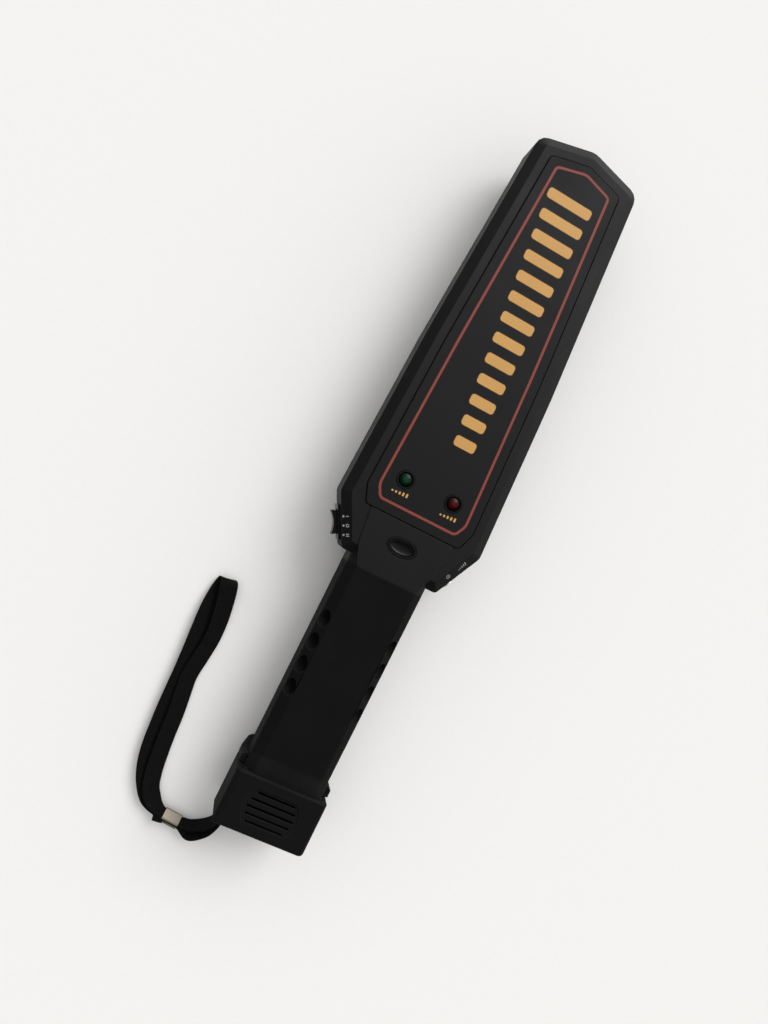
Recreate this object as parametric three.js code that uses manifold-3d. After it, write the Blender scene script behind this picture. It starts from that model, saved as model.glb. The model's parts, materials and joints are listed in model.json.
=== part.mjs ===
// Hand-held security metal detector wand, lying on its back.
// X runs across the wand, Y along it towards the search head, Z up through the front face.
// Lengths are in millimetres. The pieces are drawn from the shoulder line of the head at Y = 0,
// and the whole group is moved so that the origin is under the middle of the wand.
import * as THREE from 'three';
import { mergeVertices } from 'three/addons/utils/BufferGeometryUtils.js';
import Module from 'manifold-3d';

const wasm = await Module();
wasm.setup();

// Driving dimensions

const wand = { depth: 44.4, parting: 22, wall: 2.4 };
const fit = { gap: 0.3, overrun: 1 };
const smooth = { round: 28, small: 12, cable: 8, corner: 3, arc: 5, webbing: 80 };

const head = {
  length: 226, shoulderWidth: 85, kinkWidth: 78.4, kinkRise: 95, tipWidth: 63.4, tipDrop: 8, footWidth: 57,
  footDrop: 27.3, borderDrop: 0.8, chamferAcross: 5.3, chamferDown: 3.4, tipRadius: 7, ridgeRadius: 12,
  kinkRadius: 20, shoulderRadius: 6, footRadius: 2.5, rearRound: 2, rearLean: 4, tipLift: 14,
};

const label = {
  margin: 10.1, thickness: 1.2, edge: 0.4, bottomDrop: 0.6, bottomWidth: 56.4, cornerRise: 9.5, topRadius: 3,
  bottomRadius: 2.5, leastRadius: 0.5,
};

const neck = { topWidth: 48.8, middleWidth: 44.6, middleDrop: 20, bottomWidth: 34.8, bottomDrop: 32 };

const handle = {
  length: 184, width: 45.4, frontWidth: 34.8, flankDrop: 4.2, backRise: 6, backWidth: 28, backFlank: 15,
  frontFall: 3, flatRun: 42, cornerRadius: 3, bandRise: 2, bandLength: 4.2, flare: 3.5,
};

const dimple = { count: 4, ahead: 7.4, pitch: 13.4, length: 9.8, across: 3.6, depth: 3.6, sink: 2.2, skin: 1.8 };

const cap = {
  width: 52.6, length: 31.5, wall: 3.4, frontRadius: 3, rearWidth: 44, rearFlank: 20, rearRadius: 4,
  flankRadius: 8, endRound: 2, rimRound: 1.2,
};

const collar = { length: 5.7, height: 35.5, edgeRound: 1.5, spigotLength: 11.8 };

const thumbPad = {
  radius: 15.2, depth: 0.9, length: 20, fromRim: 6.2, grooves: 5, groovePitch: 3.95, grooveWidth: 1.1,
  grooveDepth: 0.7, grooveFromTop: 2, grooveMargin: 1.9,
};

const led = {
  spread: 29, rise: 19.8, radius: 3.8, proud: 0.6, height: 11, dome: 1.4, flange: 0.5, flangeHeight: 1,
  legRadius: 0.35, legSpread: 2.5,
};

const ledRing = { radius: 4.9, height: 1.5 };

const board = {
  base: 29, thickness: 1.6, width: 54, bottom: 8, top: 60, tongueWidth: 18, tongueDrop: 20, screwSpread: 47,
  screwLow: 13, screwHigh: 54, postRadius: 3.4,
};

const boardScrew = { radius: 1.3, headRadius: 2.6, headHeight: 1.6, length: 8 };

const button = {
  drop: 13.4, width: 14, height: 7.5, flange: 1.5, flangeThickness: 1, recess: 0.6, dish: 0.6, dishMargin: 0.6,
  travel: 0.8, stemRadius: 2,
};

const buttonRing = { width: 17.2, height: 10.2, thickness: 1, proud: 0.15 };
const tact = { side: 6, height: 3.5, plungerRadius: 1.75, plungerHeight: 1.5 };

const rocker = {
  fromFoot: 13.2, level: 31, flangeLength: 19, flangeHeight: 13, flangeThickness: 1.1, bodyLength: 15.6,
  bodyHeight: 10.4, bodyDepth: 14, pocketLength: 13.8, pocketHeight: 7.6, pocketDepth: 6, pivotDepth: 0.6,
  keyFoot: 11.2, keyWaist: 12.2, keyWaistRise: 1.1, keyTip: 13, keyDepth: 3.8, keyProud: 4.8, keyMiddle: 3.3,
  pinRadius: 0.9, pinLength: 0.8,
};

const jack = {
  fromShoulder: 21.4, level: 31, side: 8, depth: 12, barrelRadius: 3, boreRadius: 1.75, boreDepth: 12,
  proud: 2, nutRadius: 4.3, nutThickness: 1.5,
};

const trimmer = {
  fromShoulder: 9.2, level: 31, side: 9, depth: 4.8, rotorRadius: 2, rotorSeat: 2.4, rotorSink: 0.4,
  slotWidth: 0.8, slotDepth: 0.9,
};

const speaker = {
  rise: 34, radius: 18, flangeHeight: 2.4, magnetRadius: 9.5, height: 9, ringWall: 1.6, ringHeight: 3.5,
};

const grille = { radius: 14, slots: 7, width: 1.8, pitch: 4 };
const motor = { room: 0.8, radius: 6, length: 20, lift: 2, shaftRadius: 1, shaftLength: 7, ribSpread: 12 };
const weight = { radius: 5.2, length: 5, flatRise: 1.7, standOff: 1.2 };

const battery = {
  width: 26.5, thickness: 17.5, bodyLength: 45.5, round: 1.5, studHeight: 3, studSpread: 12.7, studRadius: 2.8,
  socketRadius: 3.9,
};

const snap = { length: 5.7, height: 12 };
const pad = { thickness: 2, width: 22, height: 14 };
const rib = { thickness: 1.6, count: 3, fromTail: 50, pitch: 13, window: 16, windowHeight: 9 };
const wire = { radius: 0.7, pitch: 2, across: 13.6, level: 31, passage: 6, start: 3.5, bend: 9, end: 12.5 };

const coil = {
  bottom: 66, inset: 6, width: 6, height: 6, base: 20.2, cornerRadius: 6, formerThickness: 2.4,
  formerMargin: 1.5, rimWall: 1.5, postRadius: 2.5, postLow: 80, postDrop: 46, cableRadius: 1.2,
  cableAcross: 9, cableEnd: 55,
};

const caseScrew = {
  radius: 1.5, headRadius: 3, headHeight: 2.2, length: 16, grip: 8, columnRadius: 4.2, tipDrop: 30, upper: 84,
  upperSpread: 34, middle: 40, middleSpread: 63.6, gripStep: 28,
};

const chip = { width: 7.6, length: 19.5, height: 3.4, across: 13, rise: 40 };
const capacitor = { radius: 4, height: 8.5, across: 14, rise: 42 };

const strap = { width: 10.2, thickness: 1.2, edge: 0.35 };
const crimp = { length: 10.6, wall: 0.5 };
const slot = { across: 17.5, width: 5, low: 9.8, high: 22.2 };
const pin = { radius: 1.1, drop: 5.5, overhang: 2.6, bossSide: 4.6, bossHeight: 4.4 };

// The strap's route from the pin inside the cap to the hand loop, both strands together, then round the
// loop as a single strand. Each row holds X, Y from the end of the cap, Z above the table, the direction
// in plan of the webbing's raised edge, and its lean from the table, both in degrees. The first rows also
// hold how far the under strand bows away from the upper one.
const strapTail = [
  [-17.5, 3.8, 16.0, 0, 90, 0], [-17.5, -0.8, 15.9, 0, 90, 0], [-17.7, -6.4, 14.2, -6, 84, 0],
  [-18.8, -12.0, 11.2, -18, 72, 0.8], [-21.2, -17.0, 8.2, -38, 56, 2.5], [-25.0, -20.6, 6.2, -60, 42, 3.6],
  [-30.0, -23.2, 5.2, -84, 32, 3.6], [-35.7, -23.6, 4.85, -96, 28, 0], [-41.3, -23.0, 4.85, -96, 28, 0],
  [-46.9, -22.4, 4.85, -96, 28, 0],
];
const strapOut = [
  [-53.4, -18.6, 4.7, -124, 28], [-58.6, -12.6, 4.2, -144, 27], [-61.2, -4.6, 3.7, -162, 26],
  [-62.9, 6.0, 3.2, -172, 25], [-64.2, 18.0, 2.95, -176, 25], [-65.1, 30.0, 2.9, -176, 25],
  [-66.6, 42.0, 2.9, -174, 25], [-67.9, 53.0, 2.9, -181, 25], [-66.8, 65.0, 2.9, -186, 25],
  [-65.8, 77.0, 2.9, -179, 25], [-66.4, 88.0, 3.4, -175, 22], [-68.1, 98.0, 4.5, -171, 16],
  [-69.6, 105.0, 5.4, -170, 10], [-70.9, 109.4, 5.6, -172, 8],
];
const strapBack = [
  [-72.0, 111.5, 3.7, -174, 8], [-73.1, 109.4, 1.9, -176, 8], [-74.3, 103.0, 2.0, -178, 12],
  [-75.0, 93.0, 2.5, -181, 20], [-74.5, 81.0, 2.9, -183, 25], [-73.6, 69.0, 2.9, -184, 25],
  [-72.8, 57.0, 2.9, -183, 25], [-72.3, 45.0, 2.9, -181, 25], [-71.8, 33.0, 2.9, -183, 25],
  [-70.9, 21.0, 2.9, -184, 25], [-69.8, 10.0, 2.9, -176, 25], [-67.4, -1.0, 2.9, -164, 26],
  [-63.0, -10.8, 3.0, -148, 27], [-56.6, -18.4, 3.1, -130, 28],
];

// Heights and places that follow from the driving dimensions

const tail = -handle.length;
const border = wand.depth - head.borderDrop;
const labelBase = wand.depth - label.thickness;
const pocketFloor = labelBase - fit.gap;
const neckTop = -label.bottomDrop - fit.gap;
const neckCeiling = wand.depth - wand.wall;
const boardTop = board.base + board.thickness;
const onBoard = boardTop + fit.gap;
const rim = tail + cap.length;
const lipStart = rim + fit.gap;
const spigotEnd = rim - collar.spigotLength;
const flatStart = tail + handle.flatRun;
const handleFloor = handle.backRise + wand.wall;
const handleFront = wand.depth - handle.frontFall;
const batteryLevel = (handleFloor + handleFront - wand.wall) / 2;
const gripScrew = -board.tongueDrop - caseScrew.gripStep;
const motorLevel = handleFloor + motor.radius + motor.lift;
const motorFront = gripScrew - caseScrew.columnRadius - motor.room - motor.shaftLength;
const motorMiddle = motorFront - motor.length / 2;
const motorBack = motorFront - motor.length;
const padStart = tail + cap.wall + fit.gap;
const batteryStart = padStart + pad.thickness + fit.gap;
const batteryFace = batteryStart + battery.bodyLength;
const snapFace = batteryFace + fit.gap;
const stopFace = snapFace + snap.length + fit.gap;
const tailScrew = (motorBack + stopFace + rib.thickness) / 2;
const coilTop = coil.base + coil.height;
const formerBase = coil.base - fit.gap - coil.formerThickness;
const screwSeat = wand.parting - caseScrew.grip;
const layer = (strap.thickness + fit.gap) / 2;
const pinY = tail + pin.drop;

// Solids from meshes, and meshes from solids

function solid(geometry) {
  const bare = geometry.index ? geometry.toNonIndexed() : geometry.clone();
  bare.deleteAttribute('normal');
  bare.deleteAttribute('uv');
  const merged = mergeVertices(bare);
  return new wasm.Manifold(new wasm.Mesh({
    numProp: 3,
    vertProperties: new Float32Array(merged.attributes.position.array),
    triVerts: new Uint32Array(merged.index.array),
  }));
}

function geometryOf(body) {
  const mesh = body.getMesh();
  const geometry = new THREE.BufferGeometry();
  geometry.setAttribute('position', new THREE.BufferAttribute(new Float32Array(mesh.vertProperties), 3));
  geometry.setIndex(new THREE.BufferAttribute(new Uint32Array(mesh.triVerts), 1));
  geometry.computeVertexNormals();
  return geometry;
}

const joined = (first, ...rest) => rest.reduce((sum, body) => sum.add(body), first);
const cut = (first, ...rest) => rest.reduce((left, body) => left.subtract(body), first);

// Basic shapes

const point = (x, y, z) => new THREE.Vector3(x, y, z);
const flat = (x, y) => new THREE.Vector2(x, y);

function block(low, high) {
  const size = new THREE.Vector3().subVectors(high, low);
  const middle = new THREE.Vector3().addVectors(low, high).divideScalar(2);
  return new THREE.BoxGeometry(size.x, size.y, size.z).translate(middle.x, middle.y, middle.z);
}

// A round bar standing on Z, from one level to another.
function post(radius, low, high, x = 0, y = 0, sides = smooth.small) {
  const bar = new THREE.CylinderGeometry(radius, radius, high - low, sides).rotateX(Math.PI / 2);
  return bar.translate(x, y, (low + high) / 2);
}

// A round bar along X, from one place to another.
function bar(radius, low, high, sides = smooth.small) {
  const round = new THREE.CylinderGeometry(radius, radius, high - low, sides).rotateZ(Math.PI / 2);
  return round.translate((low + high) / 2, 0, 0);
}

// A round bar along Y, from one place to another.
function axle(radius, low, high, x, z, sides = smooth.small) {
  return new THREE.CylinderGeometry(radius, radius, high - low, sides).translate(x, (low + high) / 2, z);
}

// An oval standing on Z below the shoulder line.
function oval(width, height, low, high) {
  const round = new THREE.CylinderGeometry(1, 1, high - low, smooth.round).rotateX(Math.PI / 2);
  return round.scale(width / 2, height / 2, 1).translate(0, -button.drop, (low + high) / 2);
}

// A turned body about Z from points of radius and height.
function turned(profile, x, y, sides = smooth.round) {
  const points = profile.map(([radius, height]) => flat(radius, height));
  return new THREE.LatheGeometry(points, sides).rotateX(Math.PI / 2).translate(x, y, 0);
}

// Outlines

// Moves the edges of a convex outline inwards by a distance.
function inset(outline, distance) {
  const count = outline.length;
  const lines = outline.map((start, i) => {
    const along = new THREE.Vector2().subVectors(outline[(i + 1) % count], start).normalize();
    const inward = flat(-along.y, along.x);
    return { along, through: start.clone().addScaledVector(inward, distance) };
  });
  return lines.map((line, i) => {
    const before = lines[(i + count - 1) % count];
    const apart = new THREE.Vector2().subVectors(line.through, before.through);
    const reach = apart.cross(line.along) / before.along.cross(line.along);
    return before.through.clone().addScaledVector(before.along, reach);
  });
}

// Rounds each corner of an outline by its own radius, with the same number of points on each.
function rounded(outline, radii) {
  const count = outline.length;
  return outline.flatMap((corner, i) => {
    const back = new THREE.Vector2().subVectors(outline[(i + count - 1) % count], corner).normalize();
    const ahead = new THREE.Vector2().subVectors(outline[(i + 1) % count], corner).normalize();
    const half = Math.acos(THREE.MathUtils.clamp(back.dot(ahead), -1, 1)) / 2;
    const middle = new THREE.Vector2().addVectors(back, ahead).normalize();
    const centre = corner.clone().addScaledVector(middle, radii[i] / Math.sin(half));
    const from = corner.clone().addScaledVector(back, radii[i] / Math.tan(half)).sub(centre);
    const to = corner.clone().addScaledVector(ahead, radii[i] / Math.tan(half)).sub(centre);
    const sweep = Math.atan2(from.cross(to), from.dot(to));
    return Array.from({ length: smooth.corner + 1 }, (_, step) =>
      from.clone().rotateAround(flat(0, 0), (sweep * step) / smooth.corner).add(centre));
  });
}

const isAside = (place) => place.x > fit.gap;

// A whole outline from the points of its right half, and the corner radii that go with it.
const mirrored = (half) => [
  ...half, ...half.filter(isAside).reverse().map((place) => flat(-place.x, place.y)),
];
const mirroredRadii = (half, radii) => [
  ...radii, ...radii.filter((_, i) => isAside(half[i])).reverse(),
];

// A rounded outline from its right half, moved inwards by a distance.
function roundedHalf(half, radii, distance) {
  const smaller = mirroredRadii(half, radii).map((radius) => Math.max(radius - distance, label.leastRadius));
  return rounded(inset(mirrored(half), distance), smaller);
}

// Lofts

const ringMiddle = (ring) => ring.reduce((sum, p) => sum.add(p), point(0, 0, 0)).divideScalar(ring.length);

// The facing of a ring of points, by the right-hand rule.
function ringFacing(ring) {
  const middle = ringMiddle(ring);
  const arms = ring.map((p) => new THREE.Vector3().subVectors(p, middle));
  return arms.reduce((sum, arm, i) => sum.add(new THREE.Vector3().crossVectors(arm, arms[(i + 1) % arms.length])),
    point(0, 0, 0)).normalize();
}

// Triangles that close one end of a loft, facing a direction.
function lid(ring, offset, facing) {
  const normal = ringFacing(ring);
  const side = new THREE.Vector3().subVectors(ring[1], ring[0]).normalize();
  const up = new THREE.Vector3().crossVectors(normal, side);
  const contour = ring.map((p) => flat(p.dot(side), p.dot(up)));
  return THREE.ShapeUtils.triangulateShape(contour, []).flatMap(([a, b, c]) => {
    const turn = new THREE.Vector3().crossVectors(
      new THREE.Vector3().subVectors(ring[b], ring[a]), new THREE.Vector3().subVectors(ring[c], ring[a]));
    const corners = turn.dot(facing) > 0 ? [a, b, c] : [a, c, b];
    return corners.map((corner) => corner + offset);
  });
}

// A closed body through rings that all have the same number of points.
function loft(rings) {
  const count = rings[0].length;
  const last = rings.length - 1;
  const start = new THREE.Vector3().subVectors(ringMiddle(rings[1]), ringMiddle(rings[0]));
  const end = new THREE.Vector3().subVectors(ringMiddle(rings[last]), ringMiddle(rings[last - 1]));
  const forward = ringFacing(rings[0]).dot(start) > 0;
  const index = [];
  rings.slice(1).forEach((_, r) => {
    rings[r].forEach((__, i) => {
      const a = r * count + i;
      const b = r * count + ((i + 1) % count);
      const c = b + count;
      const d = a + count;
      index.push(...(forward ? [a, b, c, a, c, d] : [a, c, b, a, d, c]));
    });
  });
  index.push(...lid(rings[0], 0, start.negate()), ...lid(rings[last], last * count, end));
  const geometry = new THREE.BufferGeometry();
  const places = rings.flat().flatMap((p) => [p.x, p.y, p.z]);
  geometry.setAttribute('position', new THREE.Float32BufferAttribute(places, 3));
  geometry.setIndex(index);
  geometry.computeVertexNormals();
  return geometry;
}

const atLevel = (ring, z) => ring.map((p) => point(p.x, p.y, z));
const atStation = (ring, y) => ring.map((p) => point(p.x, y, p.y));
const prism = (ring, low, high) => loft([atLevel(ring, low), atLevel(ring, high)]);

// Clipping blocks

const reach = head.length + handle.length;
const above = (z) => solid(block(point(-reach, -reach, z), point(reach, reach, reach)));
const below = (z) => solid(block(point(-reach, -reach, -reach), point(reach, reach, z)));
const beyond = (y) => solid(block(point(-reach, y, -reach), point(reach, reach, reach)));
const before = (y) => solid(block(point(-reach, -reach, -reach), point(reach, y, reach)));

// Head

const headHalf = [
  flat(head.footWidth / 2, -head.footDrop), flat(head.shoulderWidth / 2, 0),
  flat(head.kinkWidth / 2, head.kinkRise), flat(head.tipWidth / 2, head.length - head.tipDrop),
  flat(0, head.length),
];
const headRadii = [head.footRadius, head.shoulderRadius, head.kinkRadius, head.tipRadius, head.ridgeRadius];
const headRing = (distance, z) => atLevel(roundedHalf(headHalf, headRadii, distance), z);

// Half the head's width at a height above the shoulder line, as far as the kink and above it.
function headHalfWidth(y) {
  const top = head.length - head.tipDrop;
  return y < head.kinkRise
    ? THREE.MathUtils.mapLinear(y, 0, head.kinkRise, head.shoulderWidth / 2, head.kinkWidth / 2)
    : THREE.MathUtils.mapLinear(y, head.kinkRise, top, head.kinkWidth / 2, head.tipWidth / 2);
}

// The right half of an outline that follows the head's sides and tip from a height upwards.
function headHalfAbove(y, distance) {
  const upper = inset(mirrored(headHalf), distance).slice(2, headHalf.length);
  return [flat(headHalfWidth(y) - distance, y), ...upper.map((p) => flat(Math.abs(p.x) < fit.gap ? 0 : p.x, p.y))];
}

// The head's front half, or its hollow where a distance is given.
function headFront(distance) {
  const top = border - distance;
  return solid(loft([
    headRing(distance, wand.parting - fit.overrun), headRing(distance, top - head.chamferDown),
    headRing(distance + head.chamferAcross, top),
  ]));
}

// The head's rear half: its sides lean in towards the back, which is flat as far as the kink and then
// rises towards the tip.
function headRear(distance) {
  const third = head.rearRound / 3;
  const top = wand.parting + fit.overrun;
  const straight = loft([
    headRing(distance + head.rearRound, distance), headRing(distance + third, distance + third),
    headRing(distance, distance + head.rearRound), headRing(distance, top),
  ]);
  const slope = head.tipLift / (head.length - head.kinkRise);
  const lean = new THREE.Matrix4().set(1, 0, 0, 0, 0, 1, 0, 0, 0, slope, 1, -slope * head.kinkRise, 0, 0, 0, 1);
  const raised = solid(straight.clone().applyMatrix4(lean)).intersect(beyond(head.kinkRise));
  const sides = loft([
    headRing(distance + head.rearLean, 0), headRing(distance, wand.parting), headRing(distance, top),
  ]);
  return joined(solid(straight).intersect(before(head.kinkRise)), raised).intersect(solid(sides));
}

// Label plate

const labelHalf = [
  flat(label.bottomWidth / 2, -label.bottomDrop), ...headHalfAbove(label.cornerRise, label.margin),
];
const labelRadii = [label.bottomRadius, label.bottomRadius, head.kinkRadius, label.topRadius, label.topRadius];
const labelRing = (distance, z) => atLevel(roundedHalf(labelHalf, labelRadii, distance), z);
const ledSpots = [-led.spread / 2, led.spread / 2];

function labelPanel() {
  const plate = solid(loft([
    labelRing(0, labelBase), labelRing(0, wand.depth - label.edge), labelRing(label.edge, wand.depth),
  ]));
  const holes = ledSpots.map((x) => solid(post(ledRing.radius + fit.gap, labelBase - fit.overrun,
    wand.depth + fit.overrun, x, led.rise, smooth.round)));
  return geometryOf(cut(plate, ...holes));
}

// Handle

const neckOutline = mirrored([
  flat(neck.bottomWidth / 2, -neck.bottomDrop), flat(neck.middleWidth / 2, -neck.middleDrop),
  flat(neck.topWidth / 2, neckTop),
]);

// The handle's section, seen along the wand.
function handleSection(front, distance) {
  const half = [
    flat(handle.backWidth / 2, handle.backRise), flat(handle.width / 2, handle.backRise + handle.backFlank),
    flat(handle.width / 2, front - handle.flankDrop), flat(handle.frontWidth / 2, front),
  ];
  return roundedHalf(half, half.map(() => handle.cornerRadius), distance);
}

function handleBody(distance, start, end) {
  return solid(loft([
    atStation(handleSection(wand.depth, distance), start),
    atStation(handleSection(wand.depth, distance), -neck.bottomDrop),
    atStation(handleSection(handleFront, distance), flatStart),
    atStation(handleSection(handleFront, distance), end),
  ]));
}

// The finger hollows in the handle's front edges, or the thicker wall behind them.
function dimples(extra) {
  const middle = dimple.ahead - handle.length / 2;
  const rows = Array.from({ length: dimple.count }, (_, i) =>
    middle + ((dimple.count - 1) / 2 - i) * dimple.pitch);
  const across = (handle.width + handle.frontWidth) / 4;
  const falling = -handle.frontFall / (flatStart + neck.bottomDrop);
  return rows.flatMap((y) => [-1, 1].map((side) => {
    const level = wand.depth + (y + neck.bottomDrop) * falling - dimple.sink;
    const ball = new THREE.SphereGeometry(1, smooth.small, smooth.small / 2);
    ball.scale(dimple.across + extra, dimple.length / 2 + extra, dimple.depth + extra);
    return solid(ball.translate(side * across, y, level));
  }));
}

// Walls across the handle that hold the battery and the vibration motor.
function handleRibs() {
  const wallAt = (y) => solid(block(point(-reach, y - rib.thickness, 0), point(reach, y, reach)));
  const batteryWalls = Array.from({ length: rib.count }, (_, i) => wallAt(tail + rib.fromTail - i * rib.pitch));
  const stopWall = wallAt(stopFace + rib.thickness);
  const motorWalls = [-1, 1].map((side) => wallAt(motorMiddle + (side * motor.ribSpread + rib.thickness) / 2));
  const half = { x: battery.width / 2 + fit.gap, z: battery.thickness / 2 + fit.gap };
  const bay = block(point(-half.x, tail, batteryLevel - half.z), point(half.x, stopFace, batteryLevel + half.z));
  const seat = axle(motor.radius + fit.gap, motorBack - fit.overrun, motorFront + fit.overrun, 0, motorLevel,
    smooth.round);
  const window = block(point(-rib.window / 2, stopFace - fit.overrun, batteryLevel - rib.windowHeight / 2),
    point(rib.window / 2, stopFace + rib.thickness + fit.overrun, batteryLevel + rib.windowHeight / 2));
  const passage = block(
    point(wire.across - wire.passage / 2, -reach, wire.level - wire.passage / 2),
    point(wire.across + wire.passage / 2, 0, wire.level + wire.passage / 2));
  return cut(joined(...batteryWalls, stopWall, ...motorWalls), solid(bay), solid(seat), solid(window),
    solid(passage));
}

// End cap and the collar that it meets

const capHalf = [
  flat(cap.rearWidth / 2, 0), flat(cap.width / 2, cap.rearFlank), flat(cap.width / 2, wand.depth),
];
const capRadii = [cap.rearRadius, cap.flankRadius, cap.frontRadius];
const capRing = (distance, y) => atStation(roundedHalf(capHalf, capRadii, distance), y);

// The raised lip that the cap meets, the tube that the cap slides over, and the flared front edge.
function collarBody() {
  const lipEnd = lipStart + collar.length;
  const lip = loft([
    capRing(0, lipStart), capRing(0, lipEnd - collar.edgeRound), capRing(collar.edgeRound, lipEnd),
  ]);
  const spigot = loft([capRing(cap.wall + fit.gap, spigotEnd), capRing(cap.wall + fit.gap, lipStart)]);
  const raised = handleFront + handle.bandRise;
  const band = loft([
    atStation(handleSection(raised, 0), lipStart),
    atStation(handleSection(raised, 0), lipStart + handle.bandLength),
    atStation(handleSection(handleFront, 0), lipStart + handle.bandLength + handle.flare),
  ]);
  return joined(solid(lip).intersect(below(collar.height)), solid(spigot),
    solid(band).intersect(above(wand.parting)));
}

function thumbRecess() {
  const top = rim - thumbPad.fromRim;
  const bottom = top - thumbPad.length;
  const middle = top - thumbPad.length / 2;
  const floor = wand.depth - thumbPad.depth;
  const side = (x) => [
    point(x, top, floor), point(x, top, wand.depth + fit.overrun),
    point(x, bottom, wand.depth + fit.overrun), point(x, bottom, wand.depth),
  ];
  const wedge = solid(loft([side(-thumbPad.radius), side(thumbPad.radius)]));
  const round = solid(post(thumbPad.radius, floor - fit.overrun, wand.depth + fit.overrun, 0, middle,
    smooth.round));
  const grooves = Array.from({ length: thumbPad.grooves }, (_, i) => {
    const y = top - thumbPad.grooveFromTop - i * thumbPad.groovePitch;
    const half = Math.sqrt((thumbPad.radius - thumbPad.grooveMargin) ** 2 - (y - middle) ** 2);
    return solid(block(point(-half, y - thumbPad.grooveWidth / 2, floor - thumbPad.grooveDepth),
      point(half, y + thumbPad.grooveWidth / 2, wand.depth + fit.overrun)));
  });
  return joined(wedge.intersect(round), ...grooves);
}

function endCap() {
  const outer = solid(loft([
    capRing(cap.endRound, tail), capRing(cap.endRound / 3, tail + cap.endRound / 3),
    capRing(0, tail + cap.endRound), capRing(0, rim - cap.rimRound), capRing(cap.rimRound, rim),
  ]));
  const hollow = solid(loft([capRing(cap.wall, tail + cap.wall), capRing(cap.wall, rim + fit.overrun)]));
  const webSlot = solid(block(point(-slot.across - slot.width / 2, tail - fit.overrun, slot.low),
    point(-slot.across + slot.width / 2, tail + cap.wall + fit.overrun, slot.high)));
  const bossStart = tail + cap.wall - fit.overrun;
  const bossEnd = pinY + pin.bossSide / 2;
  const bosses = [slot.low - pin.bossHeight, slot.high].map((low) => solid(block(
    point(-slot.across - pin.bossSide / 2, bossStart, low),
    point(-slot.across + pin.bossSide / 2, bossEnd, low + pin.bossHeight))));
  const pinHole = solid(post(pin.radius + fit.gap, slot.low - pin.overhang - fit.gap,
    slot.high + pin.overhang + fit.gap, -slot.across, pinY));
  return geometryOf(cut(joined(cut(outer, hollow), ...bosses), webSlot, pinHole, thumbRecess()));
}

const strapPin = () => post(pin.radius, slot.low - pin.overhang, slot.high + pin.overhang, -slot.across, pinY);

function batteryPad() {
  return block(point(-pad.width / 2, padStart, batteryLevel - pad.height / 2),
    point(pad.width / 2, padStart + pad.thickness, batteryLevel + pad.height / 2));
}

// Places on the slanted shoulder faces, with X outwards, Y along the face and Z as before

const slant = flat((head.shoulderWidth - head.footWidth) / 2, head.footDrop);

function onShoulder(side, fromShoulder, level) {
  const along = slant.clone().normalize();
  const turn = -Math.atan2(along.x, along.y);
  const place = new THREE.Group();
  place.position.set(side * (head.shoulderWidth / 2 - along.x * fromShoulder), -along.y * fromShoulder, level);
  place.rotation.z = side > 0 ? turn : Math.PI - turn;
  place.updateMatrix();
  return place;
}

const rockerPlace = onShoulder(-1, slant.length() - rocker.fromFoot, rocker.level);
const jackPlace = onShoulder(1, jack.fromShoulder, jack.level);
const trimmerPlace = onShoulder(1, trimmer.fromShoulder, trimmer.level);

// Holes through the shoulder walls for the switch, the socket and the adjuster.
function shoulderHoles() {
  const through = -wand.wall - fit.overrun;
  const half = { y: rocker.bodyLength / 2 + fit.gap, z: rocker.bodyHeight / 2 + fit.gap };
  return [
    block(point(through, -half.y, -half.z), point(fit.overrun, half.y, half.z)).applyMatrix4(rockerPlace.matrix),
    bar(jack.barrelRadius + fit.gap, through, fit.overrun, smooth.round).applyMatrix4(jackPlace.matrix),
    bar(trimmer.rotorRadius + fit.gap, through, fit.overrun, smooth.round).applyMatrix4(trimmerPlace.matrix),
  ].map(solid);
}

// Switch on the left shoulder

function rockerHousing() {
  const half = { y: rocker.bodyLength / 2, z: rocker.bodyHeight / 2 };
  const flange = { y: rocker.flangeLength / 2, z: rocker.flangeHeight / 2 };
  const pocket = { y: rocker.pocketLength / 2, z: rocker.pocketHeight / 2 };
  const face = fit.gap + rocker.flangeThickness;
  const pinReach = pocket.z + rocker.pinLength;
  const body = solid(block(point(-rocker.bodyDepth, -half.y, -half.z), point(face, half.y, half.z)));
  const frame = solid(block(point(fit.gap, -flange.y, -flange.z), point(face, flange.y, flange.z)));
  const well = solid(block(point(-rocker.pocketDepth, -pocket.y, -pocket.z),
    point(face + fit.overrun, pocket.y, pocket.z)));
  const sockets = solid(post(rocker.pinRadius + fit.gap, -pinReach, pinReach, -rocker.pivotDepth));
  return geometryOf(cut(joined(body, frame), well, sockets));
}

function powerRocker() {
  const halfHeight = rocker.pocketHeight / 2 - fit.gap;
  const pinReach = halfHeight + rocker.pinLength;
  const shape = new THREE.Shape();
  shape.moveTo(-rocker.keyDepth, -rocker.keyFoot / 2);
  shape.lineTo(rocker.keyWaistRise, -rocker.keyWaist / 2);
  shape.lineTo(rocker.keyProud, -rocker.keyTip / 2);
  shape.quadraticCurveTo(2 * rocker.keyMiddle - rocker.keyProud, 0, rocker.keyProud, rocker.keyTip / 2);
  shape.lineTo(rocker.keyWaistRise, rocker.keyWaist / 2);
  shape.lineTo(-rocker.keyDepth, rocker.keyFoot / 2);
  const settings = { depth: 2 * halfHeight, bevelEnabled: false, curveSegments: smooth.small };
  const key = new THREE.ExtrudeGeometry(shape, settings).translate(0, 0, -halfHeight);
  return geometryOf(joined(solid(key), solid(post(rocker.pinRadius, -pinReach, pinReach, -rocker.pivotDepth))));
}

// Socket and adjuster on the right shoulder

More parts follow.
